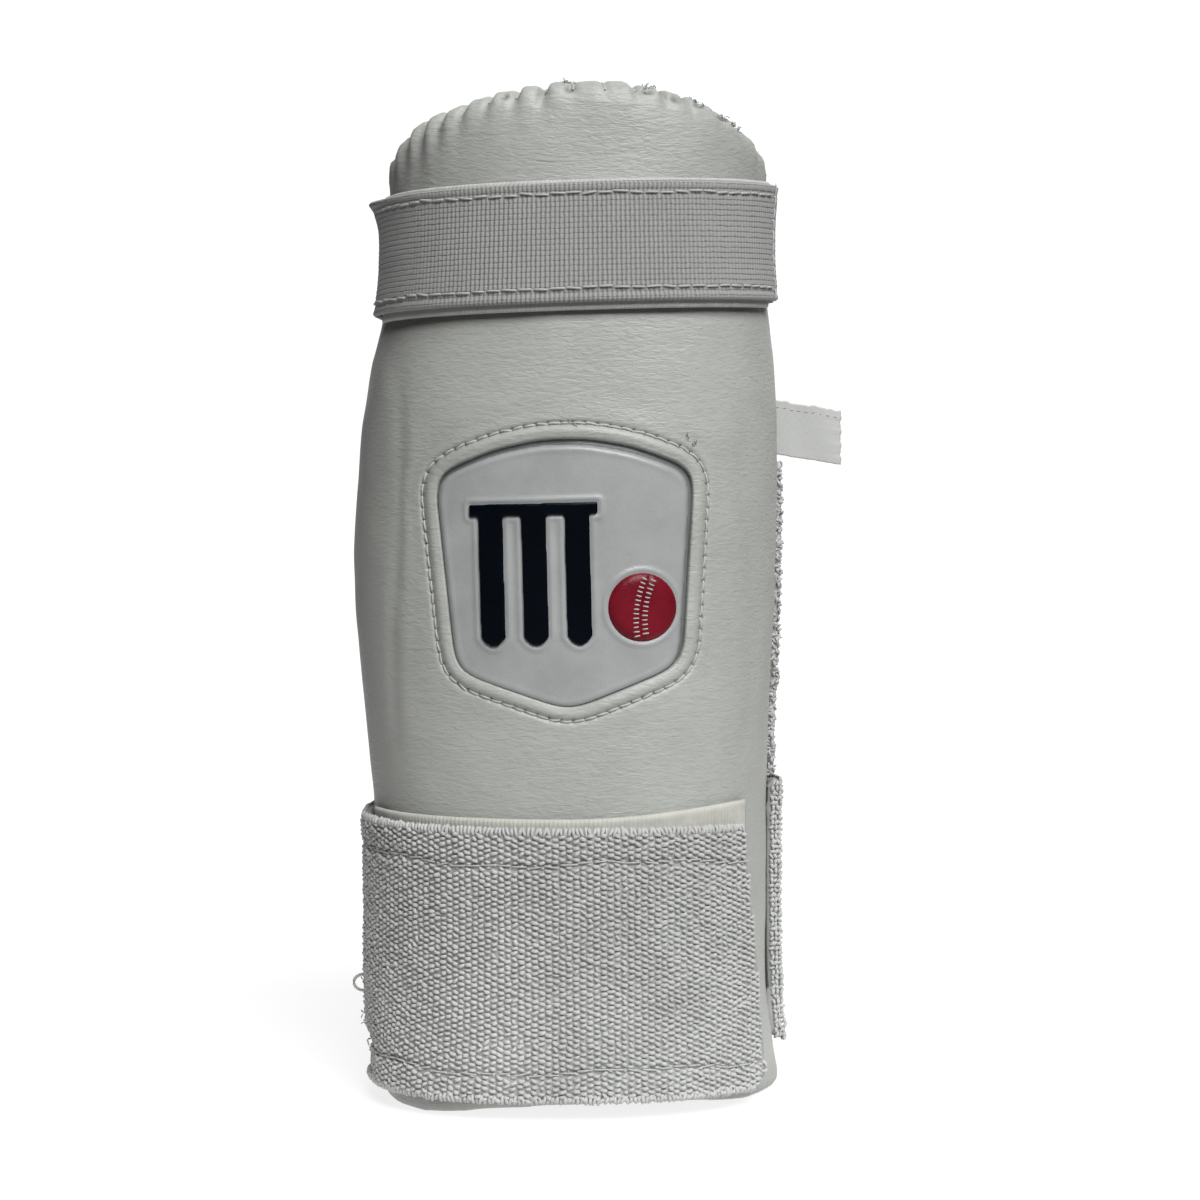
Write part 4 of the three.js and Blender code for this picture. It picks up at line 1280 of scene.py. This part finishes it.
def makeTape(name, node, band, rows, finish):
    start, end = band["run"][0], band["run"][-1]

    def lift(run, up, width):
        inner = np.minimum(up, width - up)
        return 0.2 * mm * bell(inner - 0.8 * mm, 0.6 * mm) - 0.3 * mm * np.exp(-inner / (0.3 * mm))

    columns = int((end - start) / mm)
    piece = bandSheet(name, band, start, end, columns, rows, lift, 0.9 * mm, finish, node)


makeElbowStrap()
makeTape("elbowTape", "elbow_tape", elbowTapeBand, 66, shadedTapeFinish)
print("elbow strap made")

# Wrist strap, its tape and its loops
wristStrap = {
    "width": 69.3 * mm,
    "step": 1.3 * mm,
    "rows": 54,
    "thickness": 1.7 * mm,
    "sink": 0.75 * mm,  # the loops stand on the cloth below the strap's outer face
    "loopAlong": 1.78 * mm,
    "loopUp": 1.45 * mm,
    "loopLength": 1.2 * mm,
    "loopThick": 0.98 * mm,
    "loopHeight": 1.2 * mm,
    "loopSlant": -0.15,
    "topTrim": 14 * mm,  # the free end leans back at its top
    "lowTrim": 4 * mm,
    "cornerRound": 6 * mm,
    "seamThick": 3.5 * mm,  # the strap's wall where it is sewn on
    "roughEdge": 0.45 * mm,
    "frontFrom": -78 * mm,
    "rowsIn": (7.5 * mm, 8.5 * mm),  # the stitch rows from the lower and upper edge
    "rowHalf": 0.8 * mm,
    "rowSunk": 0.55 * mm,
    "hem": 7 * mm,
    "dent": 1.2 * mm,
    "dentFrom": -58 * mm,
}


def rowWander(run):
    # The sewn rows aren't quite straight.
    return 0.8 * mm * np.sin(run / (13 * mm)) + 0.4 * mm * np.sin(run / (4.1 * mm))


def nearRow(run, up, width):
    # 1 on the strap's sewn rows and 0 away from them.
    low, high = wristStrap["rowsIn"]
    wander = rowWander(run)
    rows = bell(up - low - wander, wristStrap["rowHalf"])
    rows = np.maximum(rows, bell(width - up - high + wander, wristStrap["rowHalf"]))
    return np.maximum(rows, 0.8 * bell(run - wristBand["run"][-1] + wristStrap["hem"], 0.9 * mm))


def wristDent(run, up):
    # The strap lies closer to the leather at its lower left.
    made = wristStrap
    leftward = np.clip((made["dentFrom"] - run) / (8 * mm), 0, 1)
    return made["dent"] * leftward * np.clip((13 * mm - up) / (2 * mm), 0, 1)


def wristLift(run, up, width):
    inner = np.minimum(up, width - up)
    lift = -wristStrap["sink"] - 0.6 * mm * nearRow(run, up, width) - wristDent(run, up)
    return lift - 0.7 * mm * np.exp(-inner / (0.6 * mm))


def wristEdge(run, share):
    frayed = wristStrap["roughEdge"] * np.sin(run / (1.9 * mm)) * np.sin(run / (0.83 * mm))
    return np.where((share < 0.01) | (share > 0.99), frayed, 0)


def wristTrim(share):
    # How much shorter the strap is at a share of its width.
    made = wristStrap
    corner = np.clip(1 - share * made["width"] / made["cornerRound"], 0, 1)
    return made["lowTrim"] + share * (made["topTrim"] - made["lowTrim"]) + made["cornerRound"] * corner**2.5


def makeWristStrap():
    made = wristStrap
    start, end = wristBand["run"][0], wristBand["run"][-1]
    columns = int((end - start) / made["step"])
    piece = bandSheet(
        "wristStrap", wristBand, start, end, columns, made["rows"], wristLift, made["seamThick"],
        shadedGroundFinish, "wrist_strap", wristEdge, wristTrim,
    )
    thick = piece.vertex_groups.new(name="thick")
    for column in range(columns + 1):
        away = column * (end - start) / columns
        weight = min(1, max(0, 1 - (away - 6 * mm) / (6 * mm)))
        thick.add([column + row * (columns + 1) for row in range(made["rows"] + 1)], weight, "REPLACE")
    piece.modifiers["wall"].vertex_group = "thick"
    piece.modifiers["wall"].thickness_vertex_group = made["thickness"] / made["seamThick"]
    arch = archUnit(5, 4, made["loopLength"], made["loopHeight"], made["loopThick"])
    alongs = np.arange(start + 0.6 * mm, end - 0.3 * mm, made["loopAlong"])
    count = int(made["width"] / made["loopUp"])
    runs, ups = np.meshgrid(alongs, np.arange(count) * made["loopUp"] + 0.5 * mm, indexing="ij")
    ups = ups + (np.arange(len(alongs)) % 2)[:, None] * made["loopUp"] / 2
    runs, ups = runs.ravel(), ups.ravel()
    runs = runs + rng.normal(0, 0.12 * mm, len(runs))
    ups = ups + rng.normal(0, 0.1 * mm, len(ups)) + 0.3 * mm * np.sin(runs / (9 * mm))
    width = bandWidth(wristBand, runs)
    ups = ups * width / made["width"]
    kept = (ups > 0.1 * mm) & (ups < width - 0.1 * mm) & (runs < end - wristTrim(ups / width) - 0.2 * mm)
    runs, ups, width = runs[kept], ups[kept], width[kept]
    here, along, up, out = bandFrames(wristBand, runs, ups / width)
    rows = nearRow(runs, ups, width)
    reach = unit((here - (*guardAxis, 0)) * (1, 1, 0))
    sunk = made["sink"] + made["rowSunk"] * rows + wristDent(runs, ups)
    here = here - out * 0.25 * mm - reach * sunk[:, None]
    slant = made["loopSlant"] + rng.normal(0, 0.3, len(runs))
    axes = leaned(along, up, out, np.where(runs > end - made["hem"], slant * 2.4, slant))
    scales = rng.normal(1, 0.12, (len(runs), 3)) * (1 - 0.25 * rows)[:, None]
    # The cut start of the strap shows its yarn too
    cutUps = np.tile(np.arange(0.6 * mm, 69 * mm, 1.3 * mm), 3)
    cutDeep = np.repeat([0.2 * mm, 1.2 * mm, 2.2 * mm], len(cutUps) // 3)
    cutRuns = np.full(len(cutUps), start + 0.2 * mm)
    cutHere, cutAlong, cutUp, cutOut = bandFrames(wristBand, cutRuns, cutUps / made["width"])
    cutHere = cutHere - cutOut * (made["sink"] + cutDeep + rng.normal(0, 0.15 * mm, len(cutUps)))[:, None]
    cutAxes = leaned(cutUp, cutOut, -cutAlong, rng.normal(0.3, 0.6, len(cutUps)))
    # Yarn turned over both long edges
    rimRuns = np.tile(np.arange(start, end, 1.05 * mm), 2)
    rimShares = np.repeat([0.006, 0.994], len(rimRuns) // 2)
    kept = rimRuns < end - wristTrim(rimShares) - 0.5 * mm
    rimRuns, rimShares = rimRuns[kept], rimShares[kept]
    rimHere, rimAlong, rimUp, rimOut = bandFrames(wristBand, rimRuns, rimShares)
    rimHere = rimHere - rimOut * (made["sink"] + 0.5 * mm + rng.normal(0, 0.12 * mm, len(rimRuns)))[:, None]
    rimAxes = leaned(rimUp, rimAlong, rimOut, rng.normal(0, 0.3, len(rimRuns)))
    here, axes = np.concatenate([here, cutHere, rimHere]), np.concatenate([axes, cutAxes, rimAxes])
    cutScales = rng.normal(0.95, 0.1, (len(cutUps), 3))
    rimScales = rng.normal(1, 0.1, (len(rimRuns), 3)) * (1.3, 1.0, 1.0)
    scales = np.concatenate([scales, cutScales, rimScales])
    runs = np.concatenate([runs, cutRuns, rimRuns])
    front = runs > made["frontFrom"]
    for name, chosen in (("wristLoopsFront", front), ("wristLoopsBehind", ~front)):
        loops = (here[chosen], axes[chosen], scales[chosen])
        scatter(name, arch, *loops, loopFinish, "white_loop_elastic")
        print(name, chosen.sum(), "loops")
    for name, inset in (("wristLowStitches", made["rowsIn"][0]), ("wristTopStitches", -made["rowsIn"][1])):
        stops = np.arange(-76 * mm, end - 10 * mm, 4.2 * mm)
        width = bandWidth(wristBand, stops)
        ups = inset + rowWander(stops) + (0 if inset > 0 else width)
        here, along, up, out = bandFrames(wristBand, stops, ups / width)
        here -= out * made["rowSunk"]
        sewRow(name, here, out, along, "white_loop_elastic", 3.4 * mm, 0.45 * mm, 0.45 * mm, 0.1)


makeWristStrap()
makeTape("wristTape", "wrist_tape", wristTapeBand, 72, tapeFinish)
print("wrist strap made")

# Badge: a moulded panel with a raised wicket and ball
panel = {
    "inset": 1.45 * mm,
    "shift": (-0.5 * mm, -0.95 * mm),  # the panel sits low and to the left in its window
    "baseHeight": 0.8 * mm,
    "topHeight": 2.65 * mm,
    "voxel": 0.5 * mm,
    "round": 0.55 * mm,
    "moat": 0.4 * mm,
    "lip": 0.18 * mm,
    "moatHalf": 0.55 * mm,
    "moatOut": 0.9 * mm,
    "reliefHeight": 1.0 * mm,
    "reliefVoxel": 0.36 * mm,
    "crown": 0.25 * mm,
}


def flatSlab(outline, low, high, roundness):
    # A plate with rounded edges, flat in x and z, with its height along -y.
    slab = bmesh.new()
    verts = [slab.verts.new((x, -low, z)) for x, z in outline]
    face = slab.faces.new(verts)
    if face.normal.y > 0:
        face.normal_flip()
    made = bmesh.ops.extrude_face_region(slab, geom=[face])["geom"]
    top = vertsOf(made)
    bmesh.ops.translate(slab, verts=top, vec=(0, low - high, 0))
    bmesh.ops.recalc_face_normals(slab, faces=slab.faces)
    topVerts = set(top)
    rimEdges = [e for e in slab.edges if all(v in topVerts for v in e.verts)]
    bmesh.ops.bevel(
        slab, geom=rimEdges, offset=roundness, segments=3, profile=0.5, affect="EDGES", clamp_overlap=True
    )
    return slab


def bendToFront(points, floorDepth):
    # Lays flat heights on the floor of the window.
    bent = points.copy()
    bent[:, 1] = points[:, 1] + onFront(points[:, 0], points[:, 2]) + floorDepth
    return bent


def ballPlace():
    low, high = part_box("badge_ball")
    return Vector(((low.x + high.x) / 2, (low.z + high.z) / 2)), (high.x - low.x) / 2 - 0.45 * mm


def makePanel():
    outline = evenOutline(windowOutline, -panel["inset"], 1.2 * mm) + np.array(panel["shift"])
    plate = evenOutline(windowOutline, -badge["gap"], 1.2 * mm)
    shape = joined(
        flatSlab(plate, 0, panel["baseHeight"], 0.2 * mm),
        flatSlab(outline, 0.1 * mm, panel["topHeight"], panel["round"]),
    )
    even = softRemesh(shape, panel["voxel"], 3)
    mesh = meshOf(even, "badgePanel")
    points = bendToFront(meshPoints(mesh), badge["windowDepth"])
    onTop = meshPoints(mesh)[:, 1] < -panel["baseHeight"] - 0.6 * mm
    tree = BVHTree.FromBMesh(cadCopy("badge_wicket"))
    for i in np.flatnonzero(onTop):
        near = tree.find_nearest(Vector(points[i]), 3 * mm)
        if near[0] is not None:
            away = near[3] - panel["moatOut"]
            points[i, 1] -= panel["moat"] * math.exp(-((away / panel["moatHalf"]) ** 2))
    middle, radius = ballPlace()
    away = np.hypot(points[:, 0] - middle.x, points[:, 2] - middle.y) - radius - panel["moatOut"]
    points[:, 1] -= np.where(onTop, panel["moat"] * bell(away, panel["moatHalf"]), 0)
    rimAway = outlineDistance(hullOutline(np.insert(outline, 1, 0, axis=1)), points[:, 0], points[:, 2])
    clear = np.clip((away + panel["moatOut"] - 0.3 * mm) / (1.5 * mm), 0, 1)
    points[:, 1] -= np.where(onTop, clear * panel["lip"] * bell(rimAway + 1.1 * mm, 0.5 * mm), 0)
    setPoints(mesh, points)
    # Painted shade on the panel's base plate and sides, below its raised top.
    addPaintedShade(mesh, np.where(onTop, 0.0, 0.75))
    addPiece("badgePanel", mesh, panelFinish, ["badge_plate"])


def makeWicket():
    even = softRemesh(cadCopy("badge_wicket"), panel["reliefVoxel"], 5)
    mesh = meshOf(even, "badgeWicket")
    addPiece("badgeWicket", mesh, blackFinish, ["badge_wicket"])


ball = {
    "rings": 26,
    "sides": 96,
    "seamBend": 24 * mm,  # radius of the seam's curve
    "seamAside": 23.4 * mm,
    "seamDown": 3 * mm,
    "seamHalf": 0.5 * mm,
    "seamDepth": 0.4 * mm,
    "stitchAside": 1.15 * mm,
    "stitchPitch": 1.15 * mm,
}


def seamPlace(bend, turn):
    # A place beside the ball's seam, from the ball's middle.
    return ball["seamAside"] + bend * math.cos(turn), bend * math.sin(turn) - ball["seamDown"]


def ballHeight(x, z, radius):
    share = min(1, math.hypot(x, z) / radius)
    seamAway = math.hypot(x - ball["seamAside"], z + ball["seamDown"]) - ball["seamBend"]
    height = panel["reliefHeight"] * (1 - share**9) + panel["crown"] * (1 - share**2)
    return height - ball["seamDepth"] * math.exp(-((seamAway / ball["seamHalf"]) ** 2)) * (1 - share**10)


def onBall(middle, x, z, height):
    # A place above the panel's face, from the ball's middle.
    seat = badge["windowDepth"] - panel["topHeight"]
    x, z = middle.x + x, middle.y + z
    return x, frontAt(x, z) + seat - height, z


def makeBall():
    middle, radius = ballPlace()
    disc = bmesh.new()
    bmesh.ops.create_circle(disc, cap_ends=True, segments=ball["sides"], radius=radius)
    face = disc.faces[:][0]
    width = radius / (ball["rings"] + 1)
    for ring in range(ball["rings"]):
        bmesh.ops.inset_region(disc, faces=[face], thickness=width, use_boundary=True, use_even_offset=True)
        face = max(disc.faces, key=lambda f: len(f.verts))
    bmesh.ops.poke(disc, faces=[face])
    wall = bmesh.ops.extrude_edge_only(disc, edges=[e for e in disc.edges if e.is_boundary])["geom"]
    foot = set(vertsOf(wall))
    for vert in disc.verts:
        x, z = vert.co.x, vert.co.y
        height = -0.3 * mm if vert in foot else ballHeight(x, z, radius)
        vert.co = onBall(middle, x, z, height)
    bmesh.ops.recalc_face_normals(disc, faces=disc.faces)
    mesh = meshOf(disc, "badgeBall")
    addPiece("badgeBall", mesh, redFinish, ["badge_ball"])
    places, ways = [], []
    for side in (-1, 1):
        bend = ball["seamBend"] + side * ball["stitchAside"]
        for turn in np.arange(math.radians(140), math.radians(220), ball["stitchPitch"] / bend):
            x, z = seamPlace(bend, turn)
            if math.hypot(x, z) < radius - 1.2 * mm:
                places.append(onBall(middle, x, z, ballHeight(x, z, radius)))
                ways.append((math.cos(turn), 0, math.sin(turn)))
    outs = np.tile([0.0, -1.0, 0.0], (len(places), 1))
    places, ways = np.array(places), np.array(ways)
    sewRow("ballSeamStitches", places, outs, ways, "white_vinyl", 1.25 * mm, 0.42 * mm, 0.36 * mm, 0.04)


makePanel()
makeWicket()
makeBall()
print("badge made")

# Terry lining, with its turned edge on the right
lining = {
    "loopPitch": 2.0 * mm,
    "loopLength": 1.8 * mm,
    "loopHeight": 1.2 * mm,
    "loopThick": 0.9 * mm,
    "lipPitch": 1.0 * mm,
    "lipLength": 1.5 * mm,
    "lipThick": 1.0 * mm,
    "lipReach": 9 * mm,
    "insideTurns": (-100, 100),
    "lipTurns": (86, 118),
}


def insideLoops(tree):
    # Loops over the face that lies on the arm.
    pitch = lining["loopPitch"]
    low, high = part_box("terry_lining")
    found = []
    for row, height in enumerate(np.arange(low.z + 1 * mm, high.z, pitch)):
        turn = lining["insideTurns"][0] + (row % 2) * 1.1
        while turn < lining["insideTurns"][1]:
            hit = tree.ray_cast(Vector((*guardAxis, height)), outwards(turn), rayReach)
            found.append(hit)
            turn += math.degrees(pitch / (hit[3] or 40 * mm)) * rng.uniform(0.85, 1.15)
    return found


def lipLoops(tree, leatherTree):
    # Loops over the turned edge, where it stands out past the leather.
    step = lining["lipPitch"]
    low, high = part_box("terry_lining")
    found = []
    for height in np.arange(low.z + 0.6 * mm, high.z, step):
        rays = []
        for x in np.arange(high.x - lining["lipReach"], high.x, step):
            start = Vector((x, low.y - rayReach, height)) + Vector(rng.normal(0, 0.2 * mm, 3))
            rays.append((start, Vector((0, 1, 0))))
        for turn in np.arange(*lining["lipTurns"], 1.2):
            rays.append((Vector((*guardAxis, height)) + outwards(turn) * rayReach, -outwards(turn)))
        for start, way in rays:
            hit = tree.ray_cast(start, way, rayReach * 2)
            hidden = leatherTree.ray_cast(start, way, rayReach * 2)
            if hit[0] is not None and hit[0].x > high.x - lining["lipReach"]:
                if hidden[0] is None or hit[3] < hidden[3]:
                    found.append(hit)
    return found


def towelling(name, found, length, thick, sunk):
    # Loops of yarn at the places found, each turned its own way.
    arch = archUnit(3, 3, length, lining["loopHeight"], thick)
    found = [hit for hit in found if hit[0] is not None]
    places, outs = np.array([hit[0] for hit in found]), np.array([hit[1] for hit in found])
    places += rng.normal(0, 0.25 * mm, places.shape)
    spin = rng.uniform(0, np.pi, len(places))
    side = unit(np.cross(outs, [0.0, 0.0, 1.0]))
    axes = leaned(side, np.cross(side, outs), outs, spin)
    print(name, len(places))
    scales = rng.normal(1, 0.14, (len(places), 3))
    return scatter(name, arch, places - outs * sunk, axes, scales, towelFinish, "white_towelling")


def makeLining():
    shape = cadCopy("terry_lining")
    tree = BVHTree.FromBMesh(shape)
    flatness, squareness = math.radians(35), math.radians(40)
    bmesh.ops.join_triangles(
        shape, faces=shape.faces, angle_face_threshold=flatness, angle_shape_threshold=squareness
    )
    mesh = meshOf(shape, "terryLining")
    piece = addPiece("terryLining", mesh, towelFinish, ["terry_lining"])
    split = piece.modifiers.new("split", "SUBSURF")
    split.subdivision_type = "SIMPLE"
    split.levels = split.render_levels = 1
    made = lining
    loops = towelling("liningLoops", insideLoops(tree), made["loopLength"], made["loopThick"], 0.05 * mm)
    lip = towelling("lipLoops", lipLoops(tree, skinTree), made["lipLength"], made["lipThick"], 0.42 * mm)


makeLining()
print("lining made")

# Size label, without text
label = {
    "length": 28 * mm,
    "height": 14.8 * mm,
    "columns": 70,
    "rows": 36,
    "thickness": 0.35 * mm,
    "ragged": 0.16 * mm,
    "dashPitch": 0.07,
    "dashHeight": 0.87,
    "ripple": 0.4 * mm,
}


def makeLabel():
    cad = cadCopy("size_label")
    points = np.array([v.co[:] for v in cad.verts])
    xs = np.unique(points[:, 0].round(5))
    near = [points[abs(points[:, 0] - x) < 0.02 * mm] for x in xs]
    low = np.array([n[:, 2].min() for n in near])
    high = np.array([n[:, 2].max() for n in near])
    face = np.array([n[:, 1].min() for n in near])
    ribbon = bmesh.new()
    bmesh.ops.create_grid(ribbon, x_segments=label["columns"], y_segments=label["rows"], size=1)
    uvLayer = ribbon.loops.layers.uv.new("cloth")
    for ribbonFace in ribbon.faces:
        for loop in ribbonFace.loops:
            across, up = (loop.vert.co.x + 1) / 2, (loop.vert.co.y + 1) / 2
            loop[uvLayer].uv = (across * label["length"] / mm, up * label["height"] / mm)

    def onRibbon(u, v):
        x = xs[0] + u * (xs[-1] - xs[0])
        bottom, top, y = np.interp(x, xs, low), np.interp(x, xs, high), np.interp(x, xs, face)
        wave = label["ragged"] * (math.sin(u * 19) + 0.6 * math.sin(u * 43 + 1) + 0.5 * math.sin(u * 71))
        side = label["ragged"] * (math.sin(v * 23) + 0.6 * math.sin(v * 51 + 2)) if u > 0.5 else 0
        z = bottom + v * (top - bottom) + wave * (v**6) + 0.3 * wave * (1 - v) ** 6
        bend = label["ripple"] * (math.sin(u * 5 + v * 1.3) + 0.5 * math.sin(u * 11 + 2 * v))
        return x + side * u**8, y + 0.3 * mm + bend, z

    for vert in ribbon.verts:
        vert.co = onRibbon((vert.co.x + 1) / 2, (vert.co.y + 1) / 2)
    mesh = meshOf(ribbon, "sizeLabel")
    piece = addPiece("sizeLabel", mesh, labelFinish, ["size_label"])
    wall = piece.modifiers.new("wall", "SOLIDIFY")
    wall.thickness = label["thickness"]
    wall.offset = 0
    stops = np.arange(0.3, 0.97, label["dashPitch"])
    places = np.array([onRibbon(u, label["dashHeight"]) for u in stops]) - (0, label["thickness"] / 2, 0)
    outs = np.tile([0.0, -1.0, 0.0], (len(stops), 1))
    alongs = np.tile([1.0, 0.0, 0.0], (len(stops), 1))
    sewRow("labelDashes", places, outs, alongs, "satin_label", 1.1 * mm, 0.22 * mm, 0.3 * mm, 0.05)


makeLabel()
print("label made")

# Thread sewn over the elbow end's rim
rimThread = {
    "thick": 0.55 * mm,
    "reach": 2.6 * mm,  # below the rim on the front
    "above": 0.12 * mm,
    "inward": 0.7 * mm,  # its ends lie this deep in the wall
}


def overRim(turn, start, end):
    # A way over the rim at an angle, from the front of the wall to its back.
    way = outwards(turn)
    height = np.interp(turn, rim["angles"], rim["height"])
    front = skinTree.ray_cast(Vector((*guardAxis, height - start)) + way * rayReach, -way, rayReach)
    back = skinTree.ray_cast(Vector((*guardAxis, height - end)), way, rayReach)
    if front[0] is None or back[0] is None:
        return []
    path = [front[0] - way * rimThread["inward"], front[0] + way * rimThread["above"]]
    for share in (0.12, 0.3, 0.5, 0.7, 0.88):
        spot = front[0].lerp(back[0], share)
        top = skinTree.ray_cast(Vector((spot.x, spot.y, height + 12 * mm)), Vector((0, 0, -1)), 40 * mm)
        if top[0] is not None:
            path.append(top[0] + Vector((0, 0, rimThread["above"])))
    path += [back[0] - way * rimThread["above"], back[0] + way * rimThread["inward"]]
    return path


def makeRimThread():
    sewn = bmesh.new()
    for gather in gathers:
        place = gather["across"] * (rim["left"] if gather["across"] < 0 else rim["right"])
        turn = float(np.interp(place, rim["run"], rim["angles"]))
        path = overRim(turn, rimThread["reach"] * rng.uniform(0.8, 1.2), 3 * mm)
        if path:
            tube(sewn, path, rimThread["thick"])
    addThread("rimThread", sewn)


makeRimThread()
print("rim sewn")

# Worn places: loose fibres at the rim, at the badge's stitches and on the wrist strap
wear = {
    "fibre": 0.3 * mm,
    "bow": 0.5 * mm,
    "rimSpots": (  # the place across in mm and the number of fibres
        (-9.0, 34),
        (-7.2, 20),
        (11.6, 22),
        (13.4, 18),
        (23.6, 16),
        (25.7, 16),
        (31.3, 20),
        (34.1, 22),
        (35.4, 14),
    ),
    "badgeSpots": ((-6.4, 178.3, 5), (22.6, 175.0, 4), (24.2, 173.8, 3)),
    "strapSpots": ((29.0, 8), (21.0, 16), (18.5, 8)),  # the height in mm and the number of fibres
    "loopHeight": 29 * mm,
    "loopReach": 3.6 * mm,
    "loopTall": 4.4 * mm,
}


def rimTop(x):
    # The highest place of the leather at a distance across the front.
    best = None
    for y in np.linspace(-55 * mm, 5 * mm, 90):
        found = skinTree.ray_cast(Vector((x, y, 0.32)), Vector((0, 0, -1)), 0.2)
        if found[0] is not None and (best is None or found[0].z > best.z):
            best = found[0]
    return np.array(best)


def strapSide(height):
    # The wrist strap's leftmost place at a height.
    runs = np.linspace(-100 * mm, -50 * mm, 120)
    low = np.interp(runs, wristBand["run"], wristBand["low"])
    high = np.interp(runs, wristBand["run"], wristBand["high"])
    places = onBand(wristBand, runs, (height - low) / (high - low), -0.9 * mm)
    return places[np.argmin(places[:, 0])]


def fray(name, spots, slot):
    # Bundles of loose fibres; each spot has a place, a way out, a count, a spread and a length.
    places, outs, lengths = [], [], []
    for place, out, count, spread, length in spots:
        for _ in range(count):
            places.append(np.array(place) + rng.normal(0, spread, 3))
            way = np.array(out) + rng.normal(0, 0.8, 3)
            outs.append(way / np.linalg.norm(way))
            lengths.append(length * rng.uniform(0.5, 1.3))
    places, outs, lengths = np.array(places), np.array(outs), np.array(lengths)
    side = unit(np.cross(outs, rng.normal(0, 1, outs.shape)))
    axes = np.stack([outs, np.cross(side, outs), side], axis=1)
    scales = np.stack([lengths / mm, np.ones(len(lengths)), rng.uniform(0.5, 1.4, len(lengths))], axis=1)
    arch = archUnit(3, 6, 1.0 * mm, wear["bow"], wear["fibre"])
    places = places + outs * (lengths * 0.2)[:, None]
    scatter(name, arch, places, axes, scales, threadFinish, slot)


def makeWear():
    spots = []
    for x, count in wear["rimSpots"]:
        root = rimTop(x * mm) - (0, 0.3 * mm, 0.8 * mm)
        spots.append((root, (0.2, -0.8, 0.5), count, 0.45 * mm, 1.4 * mm))
    fray("rimFibres", spots, "white_leather")
    spots = []
    for x, z, count in wear["badgeSpots"]:
        place, normal = onLeather(x * mm, z * mm)
        spots.append((place, normal + (0, 0, 0.6), count, 0.5 * mm, 1.3 * mm))
    fray("badgeFibres", spots, "white_leather")
    spots = []
    for z, count in wear["strapSpots"]:
        spots.append((strapSide(z * mm), (-1, -0.2, 0), count, 0.8 * mm, 1.7 * mm))
    fray("strapFibres", spots, "white_loop_elastic")
    start = Vector(strapSide(wear["loopHeight"]))
    path = []
    for turn in np.linspace(-1.9, 1.9, 12):
        out = wear["loopReach"] * (math.cos(turn) + 0.32) / 1.32
        path.append(start + Vector((-out, -0.3 * mm, wear["loopTall"] / 2 * math.sin(turn))))
    strayThread = bmesh.new()
    tube(strayThread, path, 0.8 * mm)
    addThread("strayLoop", strayThread)


makeWear()
print("worn places made")
